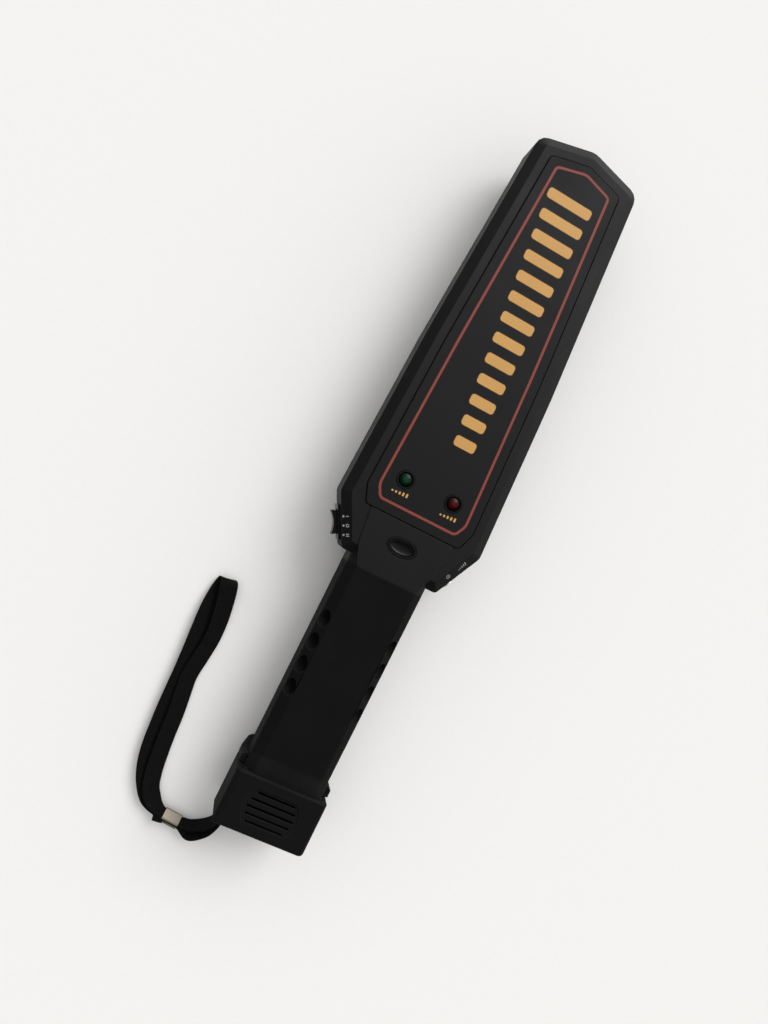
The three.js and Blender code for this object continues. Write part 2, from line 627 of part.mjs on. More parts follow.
function phoneJack() {
  const back = -wand.wall - fit.gap;
  const half = jack.side / 2;
  const body = solid(block(point(back - jack.depth, -half, -half), point(back, half, half)));
  const barrel = solid(bar(jack.barrelRadius, back - fit.overrun, jack.proud, smooth.round));
  const bore = solid(bar(jack.boreRadius, jack.proud - jack.boreDepth, jack.proud + fit.overrun));
  return geometryOf(cut(joined(body, barrel), bore));
}

function phoneJackNut() {
  const ring = solid(bar(jack.nutRadius, fit.gap, fit.gap + jack.nutThickness, smooth.round));
  return geometryOf(cut(ring, solid(bar(jack.barrelRadius + fit.gap, 0, jack.proud + fit.overrun, smooth.round))));
}

function sensitivityTrimmer() {
  const back = -wand.wall - fit.gap;
  const half = trimmer.side / 2;
  const body = solid(block(point(back - trimmer.depth, -half, -half), point(back, half, half)));
  const seat = bar(trimmer.rotorRadius + fit.gap, back - trimmer.rotorSeat - fit.gap, 0, smooth.round);
  return geometryOf(cut(body, solid(seat)));
}

function sensitivityKnob() {
  const face = -trimmer.rotorSink;
  const rotor = bar(trimmer.rotorRadius, -wand.wall - fit.gap - trimmer.rotorSeat, face, smooth.round);
  const groove = block(point(face - trimmer.slotDepth, -trimmer.rotorRadius, -trimmer.slotWidth / 2),
    point(0, trimmer.rotorRadius, trimmer.slotWidth / 2));
  return geometryOf(cut(solid(rotor), solid(groove)));
}

// Screws

const caseScrewSpots = [
  flat(0, head.length - caseScrew.tipDrop), flat(-caseScrew.upperSpread / 2, caseScrew.upper),
  flat(caseScrew.upperSpread / 2, caseScrew.upper), flat(-caseScrew.middleSpread / 2, caseScrew.middle),
  flat(caseScrew.middleSpread / 2, caseScrew.middle), flat(0, gripScrew), flat(0, tailScrew),
];
const boardScrewSpots = [board.screwLow, board.screwHigh].flatMap((y) =>
  [-board.screwSpread / 2, board.screwSpread / 2].map((x) => flat(x, y)));

// A screw with its head below its seat and its thread above.
function screw(size, seat, spot) {
  return turned([
    [0, seat - size.headHeight], [size.headRadius, seat - size.headHeight], [size.headRadius, seat],
    [size.radius, seat], [size.radius, seat + size.length - size.radius], [0, seat + size.length],
  ], spot.x, spot.y, smooth.small);
}

// Both halves of the casing

const grilleSlots = () => Array.from({ length: grille.slots }, (_, i) => {
  const y = (i - (grille.slots - 1) / 2) * grille.pitch;
  const half = Math.sqrt(grille.radius ** 2 - y ** 2);
  return solid(block(
    point(-half, speaker.rise + y - grille.width / 2, -fit.overrun),
    point(half, speaker.rise + y + grille.width / 2, wand.wall + fit.overrun)));
});

function speakerRing() {
  const inner = speaker.radius + fit.gap;
  const top = wand.wall + speaker.ringHeight;
  const ring = solid(post(inner + speaker.ringWall, 0, top, 0, speaker.rise, smooth.round));
  return ring.subtract(solid(post(inner, -fit.overrun, top + fit.overrun, 0, speaker.rise, smooth.round)));
}

const formerPosts = () => [coil.postLow, head.length - coil.postDrop].flatMap((y) => [-1, 1].map((side) => solid(post(
  coil.postRadius, 0, formerBase - fit.gap, side * (headHalfWidth(y) - coil.inset - coil.width / 2), y))));

// The room inside both halves, at a depth below the outer surface.
function interior(distance) {
  const throat = solid(prism(inset(neckOutline, distance), wand.parting, wand.depth - distance));
  const grip = handleBody(distance, neckTop - fit.overrun, spigotEnd - fit.overrun);
  return joined(headFront(distance), headRear(distance), throat, grip);
}

function casing() {
  const blank = joined(headFront(0), headRear(0), solid(prism(neckOutline, wand.parting, wand.depth)),
    handleBody(0, neckTop - fit.overrun, lipStart), collarBody());
  const pocket = solid(loft([labelRing(-fit.gap, pocketFloor), labelRing(-fit.gap, wand.depth + fit.overrun)]));
  const columns = caseScrewSpots.map((spot) => solid(post(caseScrew.columnRadius, 0, pocketFloor, spot.x, spot.y)));
  const boardPosts = boardScrewSpots.map((spot) =>
    solid(post(board.postRadius, onBoard, pocketFloor, spot.x, spot.y)));
  const fixings = joined(...columns, ...boardPosts, ...formerPosts(), ...dimples(dimple.skin), handleRibs(),
    speakerRing()).intersect(interior(wand.wall - fit.gap));
  const threads = caseScrewSpots.map((spot) => solid(post(caseScrew.radius + fit.gap, screwSeat - fit.overrun,
    screwSeat + caseScrew.length + fit.gap, spot.x, spot.y)));
  const wells = caseScrewSpots.map((spot) => solid(post(caseScrew.headRadius + fit.gap, -fit.overrun,
    screwSeat + fit.gap, spot.x, spot.y)));
  const boardThreads = boardScrewSpots.map((spot) => solid(post(boardScrew.radius + fit.gap, board.base,
    board.base + boardScrew.length, spot.x, spot.y)));
  const lampHoles = ledSpots.map((x) => solid(post(led.radius + fit.gap, board.base, wand.depth, x, led.rise,
    smooth.round)));
  const ringFloor = wand.depth + buttonRing.proud - buttonRing.thickness - fit.gap;
  const buttonHoles = [
    oval(button.width + 2 * fit.gap, button.height + 2 * fit.gap, board.base, wand.depth + fit.overrun),
    oval(buttonRing.width + 2 * fit.gap, buttonRing.height + 2 * fit.gap, ringFloor, wand.depth + fit.overrun),
  ].map(solid);
  return cut(joined(cut(blank, interior(wand.wall)), fixings), pocket, ...dimples(0), ...threads, ...wells,
    ...boardThreads, ...lampHoles, ...buttonHoles, ...shoulderHoles(), ...grilleSlots());
}

// Lamps

function lamp(x) {
  const top = wand.depth + led.proud;
  const base = top - led.height;
  const dome = Array.from({ length: smooth.arc }, (_, i) => {
    const angle = (i / smooth.arc) * (Math.PI / 2);
    return [led.radius * Math.cos(angle), top - led.dome + led.dome * Math.sin(angle)];
  });
  const body = solid(turned([
    [0, base], [led.radius + led.flange, base], [led.radius + led.flange, base + led.flangeHeight],
    [led.radius, base + led.flangeHeight], ...dome, [0, top],
  ], x, led.rise));
  const legs = [-1, 1].map((side) => solid(post(led.legRadius, onBoard, base + led.flangeHeight,
    x + (side * led.legSpread) / 2, led.rise, smooth.cable)));
  return geometryOf(joined(body, ...legs));
}

function lampRing(x) {
  const base = labelBase;
  const ring = solid(post(ledRing.radius, base, base + ledRing.height, x, led.rise, smooth.round));
  const bore = post(led.radius + fit.gap, base - fit.overrun, wand.depth + fit.overrun, x, led.rise, smooth.round);
  return geometryOf(cut(ring, solid(bore)));
}

// Push button

const tactTop = onBoard + tact.height + tact.plungerHeight;

function resetBezel() {
  const top = wand.depth + buttonRing.proud;
  const ring = solid(oval(buttonRing.width, buttonRing.height, top - buttonRing.thickness, top));
  const opening = oval(button.width + 2 * fit.gap, button.height + 2 * fit.gap, neckCeiling,
    wand.depth + fit.overrun);
  return geometryOf(cut(ring, solid(opening)));
}

function resetButton() {
  const top = wand.depth - button.recess;
  const flangeTop = neckCeiling - fit.gap;
  const flangeBase = flangeTop - button.flangeThickness;
  const body = solid(oval(button.width, button.height, flangeBase, top));
  const flange = solid(oval(button.width + 2 * button.flange, button.height + 2 * button.flange, flangeBase,
    flangeTop));
  const stem = solid(post(button.stemRadius, tactTop + button.travel + fit.gap, flangeTop, 0, -button.drop));
  const dish = new THREE.SphereGeometry(1, smooth.round, smooth.small);
  dish.scale(button.width / 2 - button.dishMargin, button.height / 2 - button.dishMargin, button.dish);
  return geometryOf(cut(joined(body, flange, stem), solid(dish.translate(0, -button.drop, top))));
}

function tactSwitch() {
  const half = tact.side / 2;
  const body = solid(block(point(-half, -button.drop - half, onBoard),
    point(half, -button.drop + half, onBoard + tact.height)));
  return geometryOf(joined(body, solid(post(tact.plungerRadius, onBoard, tactTop, 0, -button.drop))));
}

// Board and what stands on it

function mainBoard() {
  const half = board.width / 2;
  const tongue = board.tongueWidth / 2;
  const plate = joined(
    solid(block(point(-half, board.bottom, board.base), point(half, board.top, boardTop))),
    solid(block(point(-tongue, -board.tongueDrop, board.base), point(tongue, board.top, boardTop))));
  const holes = boardScrewSpots.map((spot) => solid(post(boardScrew.radius + fit.gap, board.base - fit.overrun,
    boardTop + fit.overrun, spot.x, spot.y)));
  return geometryOf(cut(plate, ...holes));
}

function controlChip() {
  return block(
    point(-chip.across - chip.width / 2, chip.rise - chip.length / 2, onBoard),
    point(-chip.across + chip.width / 2, chip.rise + chip.length / 2, onBoard + chip.height));
}

const filterCapacitor = () => post(capacitor.radius, onBoard, onBoard + capacitor.height, capacitor.across,
  capacitor.rise, smooth.round);

// Loudspeaker and silent alarm

function loudspeaker() {
  const base = wand.wall + fit.gap;
  return turned([
    [0, base], [speaker.radius, base], [speaker.radius, base + speaker.flangeHeight],
    [speaker.magnetRadius, base + speaker.height / 2], [speaker.magnetRadius, base + speaker.height],
    [0, base + speaker.height],
  ], 0, speaker.rise);
}

function vibrationMotor() {
  const body = solid(axle(motor.radius, motorBack, motorFront, 0, motorLevel, smooth.round));
  const shaft = axle(motor.shaftRadius, motorFront - fit.overrun, motorFront + motor.shaftLength, 0, motorLevel);
  return geometryOf(joined(body, solid(shaft)));
}

function vibrationWeight() {
  const start = motorFront + weight.standOff;
  const disc = solid(axle(weight.radius, start, start + weight.length, 0, motorLevel, smooth.round));
  const bore = axle(motor.shaftRadius + fit.gap, start - fit.overrun, start + weight.length + fit.overrun, 0,
    motorLevel);
  const flatSide = above(motorLevel + weight.flatRise);
  return geometryOf(cut(disc, solid(bore), flatSide));
}

// Search coil

const coilRing = (distance) => roundedHalf(headHalfAbove(coil.bottom, coil.inset),
  [coil.cornerRadius, head.kinkRadius, coil.cornerRadius, coil.cornerRadius], distance);

function searchCoil() {
  const outer = solid(prism(coilRing(0), coil.base, coilTop));
  return geometryOf(cut(outer, solid(prism(coilRing(coil.width), coil.base - fit.overrun, coilTop + fit.overrun))));
}

function coilFormer() {
  const rim = coil.width + fit.gap;
  const plateTop = coil.base - fit.gap;
  const plate = solid(prism(coilRing(-coil.formerMargin), formerBase, plateTop));
  const wall = solid(prism(coilRing(rim), formerBase, coilTop));
  const opening = solid(prism(coilRing(rim + coil.rimWall), formerBase - fit.overrun, coilTop + fit.overrun));
  return geometryOf(cut(joined(plate, wall), opening));
}

// Cables

// A round cable through a list of places.
function cable(radius, places, steps) {
  const shape = new THREE.Shape();
  const corners = Array.from({ length: smooth.cable }, (_, i) =>
    flat(radius, 0).rotateAround(flat(0, 0), (i / smooth.cable) * Math.PI * 2));
  shape.setFromPoints(corners);
  const extrudePath = new THREE.CatmullRomCurve3(places, false, 'centripetal');
  return new THREE.ExtrudeGeometry(shape, { steps, bevelEnabled: false, extrudePath });
}

// One of the two wires from the battery snap to the board, on the right or the left of the pair.
function batteryLead(side) {
  const inner = wire.start + side * wire.pitch;
  const outer = wire.across + (side * wire.pitch) / 2;
  const onTop = boardTop + wire.radius + fit.gap;
  return cable(wire.radius, [
    point(inner, stopFace, batteryLevel), point(inner, stopFace + wire.bend / 2, batteryLevel),
    point(outer - wire.pitch, stopFace + 2 * wire.bend, wire.level - wire.pitch),
    point(outer, stopFace + 3 * wire.bend, wire.level), point(outer, -neck.bottomDrop, wire.level),
    point(outer, board.bottom - wire.bend, onTop + wire.radius), point(outer, wire.end, onTop),
  ], smooth.round);
}

function coilCable() {
  const x = coil.cableAcross;
  const level = coil.base + coil.height / 2;
  const middle = (coil.bottom + coil.cableEnd) / 2;
  return cable(coil.cableRadius, [
    point(x, coil.bottom - fit.gap, level), point(x, middle, level),
    point(x, coil.cableEnd, (level + board.base) / 2), point(x, coil.cableEnd, board.base - fit.gap),
  ], smooth.small);
}

// Battery

const batteryStuds = [[-1, battery.studRadius], [1, battery.socketRadius]];

function batteryBody() {
  const half = { x: battery.width / 2, z: battery.thickness / 2 };
  const corners = [flat(half.x, -half.z), flat(half.x, half.z), flat(-half.x, half.z), flat(-half.x, -half.z)];
  const outline = rounded(corners, corners.map(() => battery.round));
  const ring = (y) => outline.map((p) => point(p.x, y, p.y + batteryLevel));
  const studs = batteryStuds.map(([side, radius]) => solid(axle(radius, batteryFace - fit.overrun,
    batteryFace + battery.studHeight, (side * battery.studSpread) / 2, batteryLevel)));
  return geometryOf(joined(solid(loft([ring(batteryStart), ring(batteryFace)])), ...studs));
}

function batterySnap() {
  const half = { x: battery.width / 2, z: snap.height / 2 };
  const body = solid(block(point(-half.x, snapFace, batteryLevel - half.z),
    point(half.x, snapFace + snap.length, batteryLevel + half.z)));
  const sockets = batteryStuds.map(([side, radius]) => solid(axle(radius + fit.gap, snapFace - fit.overrun,
    batteryFace + battery.studHeight + fit.gap, (side * battery.studSpread) / 2, batteryLevel)));
  return geometryOf(cut(body, ...sockets));
}

// Wrist strap

// Places along the strap with the directions across and through the webbing. The side is 1 for the upper
// strand, -1 for the under strand and 0 for their middle.
function strapStations(rows, side) {
  const middles = rows.map(([x, y, z]) => point(x, tail + y, z));
  return rows.map(([, , , facing, lean, bow = 0], i) => {
    const ahead = middles[Math.min(i + 1, rows.length - 1)];
    const behind = middles[Math.max(i - 1, 0)];
    const along = new THREE.Vector3().subVectors(ahead, behind).normalize();
    const plan = THREE.MathUtils.degToRad(facing);
    const rise = THREE.MathUtils.degToRad(lean);
    const across = point(Math.cos(plan) * Math.cos(rise), Math.sin(plan) * Math.cos(rise), Math.sin(rise));
    across.addScaledVector(along, -across.dot(along)).normalize();
    const through = new THREE.Vector3().crossVectors(along, across);
    const middle = middles[i].clone().addScaledVector(through, side * layer);
    if (side < 0) middle.addScaledVector(point(-along.y, along.x, 0), bow);
    return { middle, along, across, through };
  });
}

function webbingRing(middle, across, through) {
  const half = { w: strap.width / 2, t: strap.thickness / 2 };
  const shape = [[half.w, 0], [half.w - strap.edge, half.t], [strap.edge - half.w, half.t], [-half.w, 0],
    [strap.edge - half.w, -half.t], [half.w - strap.edge, -half.t]];
  return shape.map(([w, t]) => middle.clone().addScaledVector(across, w).addScaledVector(through, t));
}

// The strap out from the pin, round the hand loop and back.
function wristStrap() {
  const loop = strapStations([strapTail.at(-1), ...strapOut, ...strapBack, strapTail.at(-1)], 0).slice(1, -1);
  const line = [...strapStations(strapTail, 1), ...loop, ...strapStations(strapTail, -1).reverse()];
  const path = new THREE.CatmullRomCurve3(line.map((station) => station.middle), false, 'centripetal');
  const edge = new THREE.CatmullRomCurve3(line.map((station) => station.across), false, 'centripetal');
  return loft(Array.from({ length: smooth.webbing + 1 }, (_, i) => {
    const share = i / smooth.webbing;
    const along = path.getTangent(share);
    const across = edge.getPoint(share);
    across.addScaledVector(along, -across.dot(along)).normalize();
    return webbingRing(path.getPoint(share), across, new THREE.Vector3().crossVectors(along, across));
  }));
}

function strapCrimp() {
  const centre = strapStations(strapTail, 0).at(-2);
  const half = { w: strap.width / 2 + fit.gap, t: layer + strap.thickness / 2 + fit.gap };
  const sleeve = (extra, length) => {
    const axes = new THREE.Matrix4().makeBasis(centre.across, centre.through, centre.along);
    axes.setPosition(centre.middle);
    return solid(new THREE.BoxGeometry(2 * (half.w + extra), 2 * (half.t + extra), length).applyMatrix4(axes));
  };
  return geometryOf(cut(sleeve(crimp.wall, crimp.length), sleeve(0, crimp.length + 2 * fit.overrun)));
}

// The whole wand

const looks = {
  shell: { color: '#1b1b1c', roughness: 0.55, metalness: 0 },
  label: { color: '#262627', roughness: 0.6, metalness: 0 },
  cap: { color: '#242425', roughness: 0.5, metalness: 0 },
  gloss: { color: '#131314', roughness: 0.25, metalness: 0 },
  greenLens: { color: '#1f4a2c', roughness: 0.15, metalness: 0 },
  redLens: { color: '#4a1a17', roughness: 0.15, metalness: 0 },
  steel: { color: '#9a9a98', roughness: 0.35, metalness: 0.9 },
  board: { color: '#2c5a3a', roughness: 0.5, metalness: 0 },
  copper: { color: '#8c5a35', roughness: 0.4, metalness: 0.6 },
  redWire: { color: '#8a2620', roughness: 0.5, metalness: 0 },
  foam: { color: '#3a3a3c', roughness: 0.95, metalness: 0 },
  webbing: { color: '#18181a', roughness: 0.9, metalness: 0 },
  crimp: { color: '#aaa091', roughness: 0.6, metalness: 0.2 },
};

const group = new THREE.Group();

function add(name, geometry, look, parent = group) {
  const mesh = new THREE.Mesh(geometry, new THREE.MeshStandardMaterial(look));
  mesh.name = name;
  parent.add(mesh);
}

function addCasing() {
  const whole = casing();
  add('front_shell', geometryOf(whole.intersect(above(wand.parting + fit.gap / 2))), looks.shell);
  add('rear_shell', geometryOf(whole.intersect(below(wand.parting - fit.gap / 2))), looks.shell);
  add('label_panel', labelPanel(), looks.label);
  caseScrewSpots.forEach((spot, i) =>
    add(`case_screw_${i + 1}`, screw(caseScrew, screwSeat, spot), looks.steel));
}

function addControls() {
  add('led_green', lamp(ledSpots[0]), looks.greenLens);
  add('led_red', lamp(ledSpots[1]), looks.redLens);
  add('led_bezel_left', lampRing(ledSpots[0]), looks.gloss);
  add('led_bezel_right', lampRing(ledSpots[1]), looks.gloss);
  add('reset_bezel', resetBezel(), looks.gloss);
  add('reset_button', resetButton(), looks.gloss);
  group.add(rockerPlace, jackPlace, trimmerPlace);
  add('rocker_housing', rockerHousing(), looks.gloss, rockerPlace);
  add('power_rocker', powerRocker(), looks.gloss, rockerPlace);
  add('phone_jack', phoneJack(), looks.gloss, jackPlace);
  add('phone_jack_nut', phoneJackNut(), looks.steel, jackPlace);
  add('sensitivity_trimmer', sensitivityTrimmer(), looks.gloss, trimmerPlace);
  add('sensitivity_knob', sensitivityKnob(), looks.gloss, trimmerPlace);
}

function addElectronics() {
  add('main_board', mainBoard(), looks.board);
  boardScrewSpots.forEach((spot, i) =>
    add(`board_screw_${i + 1}`, screw(boardScrew, board.base - fit.gap, spot), looks.steel));
  add('tact_switch', tactSwitch(), looks.gloss);
  add('control_chip', controlChip(), looks.gloss);
  add('filter_capacitor', filterCapacitor(), looks.steel);
  add('speaker', loudspeaker(), looks.steel);
  add('vibration_motor', vibrationMotor(), looks.steel);
  add('vibration_weight', vibrationWeight(), looks.steel);
  add('coil_former', coilFormer(), looks.label);
  add('search_coil', searchCoil(), looks.copper);
  add('coil_cable', coilCable(), looks.webbing);
}

function addPower() {
  add('battery', batteryBody(), looks.label);
  add('battery_snap', batterySnap(), looks.gloss);
  add('battery_lead_red', batteryLead(1), looks.redWire);
  add('battery_lead_black', batteryLead(-1), looks.webbing);
}

function addCapAndStrap() {
  add('end_cap', endCap(), looks.cap);
  add('battery_pad', batteryPad(), looks.foam);
  add('strap_pin', strapPin(), looks.steel);
  add('wrist_strap', wristStrap(), looks.webbing);
  add('strap_crimp', strapCrimp(), looks.crimp);
}

addCasing();
addControls();
addElectronics();
addPower();
addCapAndStrap();
group.position.y = -(head.length + tail) / 2;

export default group;
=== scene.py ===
"""Looks of a hand-held security metal detector wand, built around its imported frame."""

import json
import math

import bmesh
import bpy
import numpy as np
from mathutils import Matrix, Vector


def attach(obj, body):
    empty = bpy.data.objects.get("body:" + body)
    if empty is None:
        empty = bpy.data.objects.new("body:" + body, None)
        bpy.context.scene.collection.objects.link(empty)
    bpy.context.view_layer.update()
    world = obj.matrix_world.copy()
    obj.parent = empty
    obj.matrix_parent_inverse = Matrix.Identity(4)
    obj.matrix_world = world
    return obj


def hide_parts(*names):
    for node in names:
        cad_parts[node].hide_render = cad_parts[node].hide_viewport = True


bl_info = {
    "name": "Security metal detector wand",
    "version": (1, 0, 0),
    "blender": (4, 5, 0),
    "location": "3D View > Sidebar > Wand",
    "description": "Dresses the wand's frame with its finishes, printed marks and wrist strap",
    "category": "Object",
}

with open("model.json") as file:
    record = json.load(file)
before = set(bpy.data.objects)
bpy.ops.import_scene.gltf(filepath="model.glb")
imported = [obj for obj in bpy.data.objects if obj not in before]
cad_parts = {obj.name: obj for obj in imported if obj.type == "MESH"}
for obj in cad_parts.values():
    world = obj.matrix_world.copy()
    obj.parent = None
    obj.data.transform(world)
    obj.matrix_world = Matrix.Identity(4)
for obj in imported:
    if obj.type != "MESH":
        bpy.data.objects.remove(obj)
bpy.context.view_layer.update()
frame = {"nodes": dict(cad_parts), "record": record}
record = frame["record"]
body_of = {node: body for body, nodes in record["behaviour"]["bodies"].items() for node in nodes}
slot_of = {row["node"]: row["material_slot"] for row in record["subparts"]}

# Height of the label's face, in metres above the table
LABEL_TOP = 0.0444

# Where the floors of the thumb pad's grooves lie: along the wand, off its middle, and below the face
PAD_LOW = -0.2005
PAD_HIGH = -0.1780
PAD_HALF = 0.015
GROOVE_SHALLOWEST = 0.0010
GROOVE_DEEPEST = 0.0018

# Rounding of small pieces' edges
FINE_EDGE = 0.0001

# Printed ink: how far it sinks into its face, and its thickness as an edge, a line, a mark and a bar
INK_SUNK = 0.00003
INK_EDGE = 0.00006
INK_LINE = 0.00008
INK_MARK = 0.00007
INK_BAR = 0.0001

# The strap's route: X, Y, Z, the way it faces and its lean in degrees. The points are those of the
# part's source, and beside the crimp the strap leans more than there.
# The tail is the run from the pin in the cap to the crimp, which both strands share. Its last value
# is how far the under strand bows away from the upper one.
STRAP_TAIL = (
    (-0.0175, -0.2012, 0.01600, 0, 90, 0.0),
    (-0.0175, -0.2058, 0.01590, 0, 90, 0.0),
    (-0.0177, -0.2114, 0.01420, -6, 84, 0.0),
    (-0.0188, -0.2170, 0.01120, -18, 80, 0.0008),
    (-0.0212, -0.2220, 0.00820, -38, 78, 0.0025),
    (-0.0250, -0.2256, 0.00620, -60, 76, 0.0036),
    (-0.0300, -0.2282, 0.00520, -84, 64, 0.0036),
    (-0.0357, -0.2286, 0.00485, -96, 43, 0.0),
    (-0.0413, -0.2280, 0.00485, -96, 40, 0.0),
    (-0.0469, -0.2274, 0.00485, -96, 40, 0.0),
)
STRAP_LOOP = (
    (-0.0534, -0.2236, 0.00470, -124, 34),
    (-0.0586, -0.2176, 0.00420, -144, 30),
    (-0.0612, -0.2096, 0.00370, -162, 26),
    (-0.0629, -0.1990, 0.00320, -172, 25),
    (-0.0642, -0.1870, 0.00295, -176, 25),
    (-0.0651, -0.1750, 0.00290, -176, 25),
    (-0.0666, -0.1630, 0.00290, -174, 25),
    (-0.0679, -0.1520, 0.00290, -181, 25),
    (-0.0668, -0.1400, 0.00290, -186, 25),
    (-0.0658, -0.1280, 0.00290, -179, 25),
    (-0.0664, -0.1170, 0.00340, -175, 22),
    (-0.0681, -0.1070, 0.00450, -171, 16),
    (-0.0696, -0.1000, 0.00540, -170, 10),
    (-0.0709, -0.0956, 0.00560, -172, 8),
    (-0.0720, -0.0935, 0.00370, -174, 8),
    (-0.0731, -0.0956, 0.00190, -176, 8),
    (-0.0743, -0.1020, 0.00200, -178, 12),
    (-0.0750, -0.1120, 0.00250, -181, 20),
    (-0.0745, -0.1240, 0.00290, -183, 25),
    (-0.0736, -0.1360, 0.00290, -184, 25),
    (-0.0728, -0.1480, 0.00290, -183, 25),
    (-0.0723, -0.1600, 0.00290, -181, 25),
    (-0.0718, -0.1720, 0.00290, -183, 25),
    (-0.0709, -0.1840, 0.00290, -184, 25),
    (-0.0698, -0.1950, 0.00290, -176, 25),
    (-0.0674, -0.2060, 0.00290, -164, 26),
    (-0.0630, -0.2158, 0.00300, -148, 27),
    (-0.0566, -0.2234, 0.00310, -130, 30),
)

# Length of the strap's middle line, measured from its rings
STRAP_RINGS = 260

# Half the distance between the tail's two strands
STRAND_OFFSET = 0.00075

# The crimp takes this share of the webbing's width, fully up to one distance and not beyond the other
GATHERED = 0.34
GATHERED_NEAR = 0.006
GATHERED_FAR = 0.018

# The frame line round the label, through the middle of the line
LABEL_LINE = (
    (0.0, 0.1895), (0.0166, 0.1848), (0.0225, 0.079), (0.0261, -0.009), (0.0227, -0.0155),
    (-0.0227, -0.0155), (-0.0261, -0.009), (-0.0225, 0.079), (-0.0166, 0.1848),
)


# Selecting and shaping


def clear():
    """Leave edit mode and select nothing."""
    if bpy.context.mode != "OBJECT":
        bpy.ops.object.mode_set(mode="OBJECT")
    bpy.ops.object.select_all(action="DESELECT")


def pick(*pieces):
    """Select these pieces alone and make the first one active."""
    clear()
    for piece in pieces:
        piece.select_set(True)
    bpy.context.view_layer.objects.active = pieces[0]


def edit(piece):
    """Open a piece in edit mode with its whole mesh selected."""
    pick(piece)
    bpy.ops.object.mode_set(mode="EDIT")
    bpy.ops.mesh.select_all(action="SELECT")


def done():
    """Close edit mode with the faces turned outwards."""
    bpy.ops.mesh.select_all(action="SELECT")
    bpy.ops.mesh.normals_make_consistent(inside=False)
    bpy.ops.object.mode_set(mode="OBJECT")


def select_faces(test):
    """Select the faces whose middle and normal pass the test, in edit mode."""
    mesh = bpy.context.edit_object.data
    shape = bmesh.from_edit_mesh(mesh)
    bpy.context.tool_settings.mesh_select_mode = (False, False, True)
    for face in shape.faces:
        face.select_set(False)
    for face in shape.faces:
        if test(face.calc_center_median(), face.normal):
            face.select_set(True)
    bmesh.update_edit_mesh(mesh)


def select_edges(test):
    """Select the edges whose middle and direction pass the test, in edit mode."""
    mesh = bpy.context.edit_object.data
    shape = bmesh.from_edit_mesh(mesh)
    bpy.context.tool_settings.mesh_select_mode = (False, True, False)
    for edge in shape.edges:
        edge.select_set(False)
    for edge in shape.edges:
        a, b = (vertex.co for vertex in edge.verts)
        if test((a + b) / 2, (b - a).normalized()):
            edge.select_set(True)
    bmesh.update_edit_mesh(mesh)


def soften(piece, width):
    """Round the sharp edges by this width and shade the flats flat."""
    pick(piece)
    if width > 0:
        bevel = piece.modifiers.new("Soft edges", "BEVEL")
        bevel.width = width
        bevel.segments = 2
        bevel.limit_method = "ANGLE"
        bevel.angle_limit = math.radians(30)
        bevel.use_clamp_overlap = False
        bpy.ops.object.modifier_apply(modifier=bevel.name)
    bpy.ops.object.shade_smooth_by_angle(angle=math.radians(38))
    weighted = piece.modifiers.new("Flat faces first", "WEIGHTED_NORMAL")
    weighted.keep_sharp = True
    bpy.ops.object.modifier_apply(modifier=weighted.name)


def joined(name, parts):
    """Several pieces as one, under this name."""
    pick(*parts)
    if len(parts) > 1:
        bpy.ops.object.join()
    piece = bpy.context.active_object
    piece.name = name
    piece.data.name = name
    return piece


def give(piece, body, finish, nodes=()):
    """Give a finished piece its material and let it ride on a body."""
    piece.data.materials.clear()
    piece.data.materials.append(finish)
    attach(piece, body)
    if nodes:
        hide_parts(*nodes)


def dress(nodes, softness):
    """Let a merged copy with softened edges stand for each of these CAD nodes, and return the last one."""
    for node in nodes:
        mesh = frame["nodes"][node].data.copy()
        piece = bpy.data.objects.new(node + "_skin", mesh)
        mesh.name = piece.name
        bpy.context.scene.collection.objects.link(piece)
        edit(piece)
        bpy.ops.mesh.customdata_custom_splitnormals_clear()
        bpy.ops.mesh.remove_doubles(threshold=0.000002)
        bpy.ops.mesh.dissolve_limited(angle_limit=math.radians(0.2))
        bpy.ops.object.mode_set(mode="OBJECT")
        soften(piece, softness)
        give(piece, body_of[node], finish_of(slot_of[node]), [node])
    return piece


# Printed marks


def grown(points, by):
    """An outline moved outwards by this much, with its corners kept sharp."""
    outline = np.array(points)
    ahead = np.roll(outline, -1, axis=0) - outline
    ahead /= np.linalg.norm(ahead, axis=1)[:, None]
    behind = np.roll(ahead, 1, axis=0)
    turn = np.sign(np.sum(ahead[:, 1] * behind[:, 0] - ahead[:, 0] * behind[:, 1]))
    normal = lambda way: np.stack([way[:, 1], -way[:, 0]], axis=1) * turn
    mitre = normal(ahead) + normal(behind)
    mitre *= (2 / np.sum(mitre * mitre, axis=1))[:, None]
    return outline + mitre * by


def plate(points, corner):
    """A flat plate over an outline, with rounded corners, open in edit mode."""
    clear()
    bpy.ops.mesh.primitive_circle_add(vertices=len(points), radius=0.01, fill_type="NGON")
    piece = bpy.context.active_object
    for vertex, (x, y) in zip(piece.data.vertices, points):
        vertex.co = (x, y, -INK_SUNK)
    edit(piece)
    if corner:
        bpy.ops.mesh.bevel(offset=corner, segments=5, affect="VERTICES")
    return piece


def raise_plate(piece, thickness):
    """Give a flat plate its thickness upwards, and close edit mode."""
    bpy.ops.mesh.select_all(action="SELECT")
    bpy.ops.mesh.extrude_region_move(TRANSFORM_OT_translate={"value": (0, 0, thickness)})
    done()
    return piece


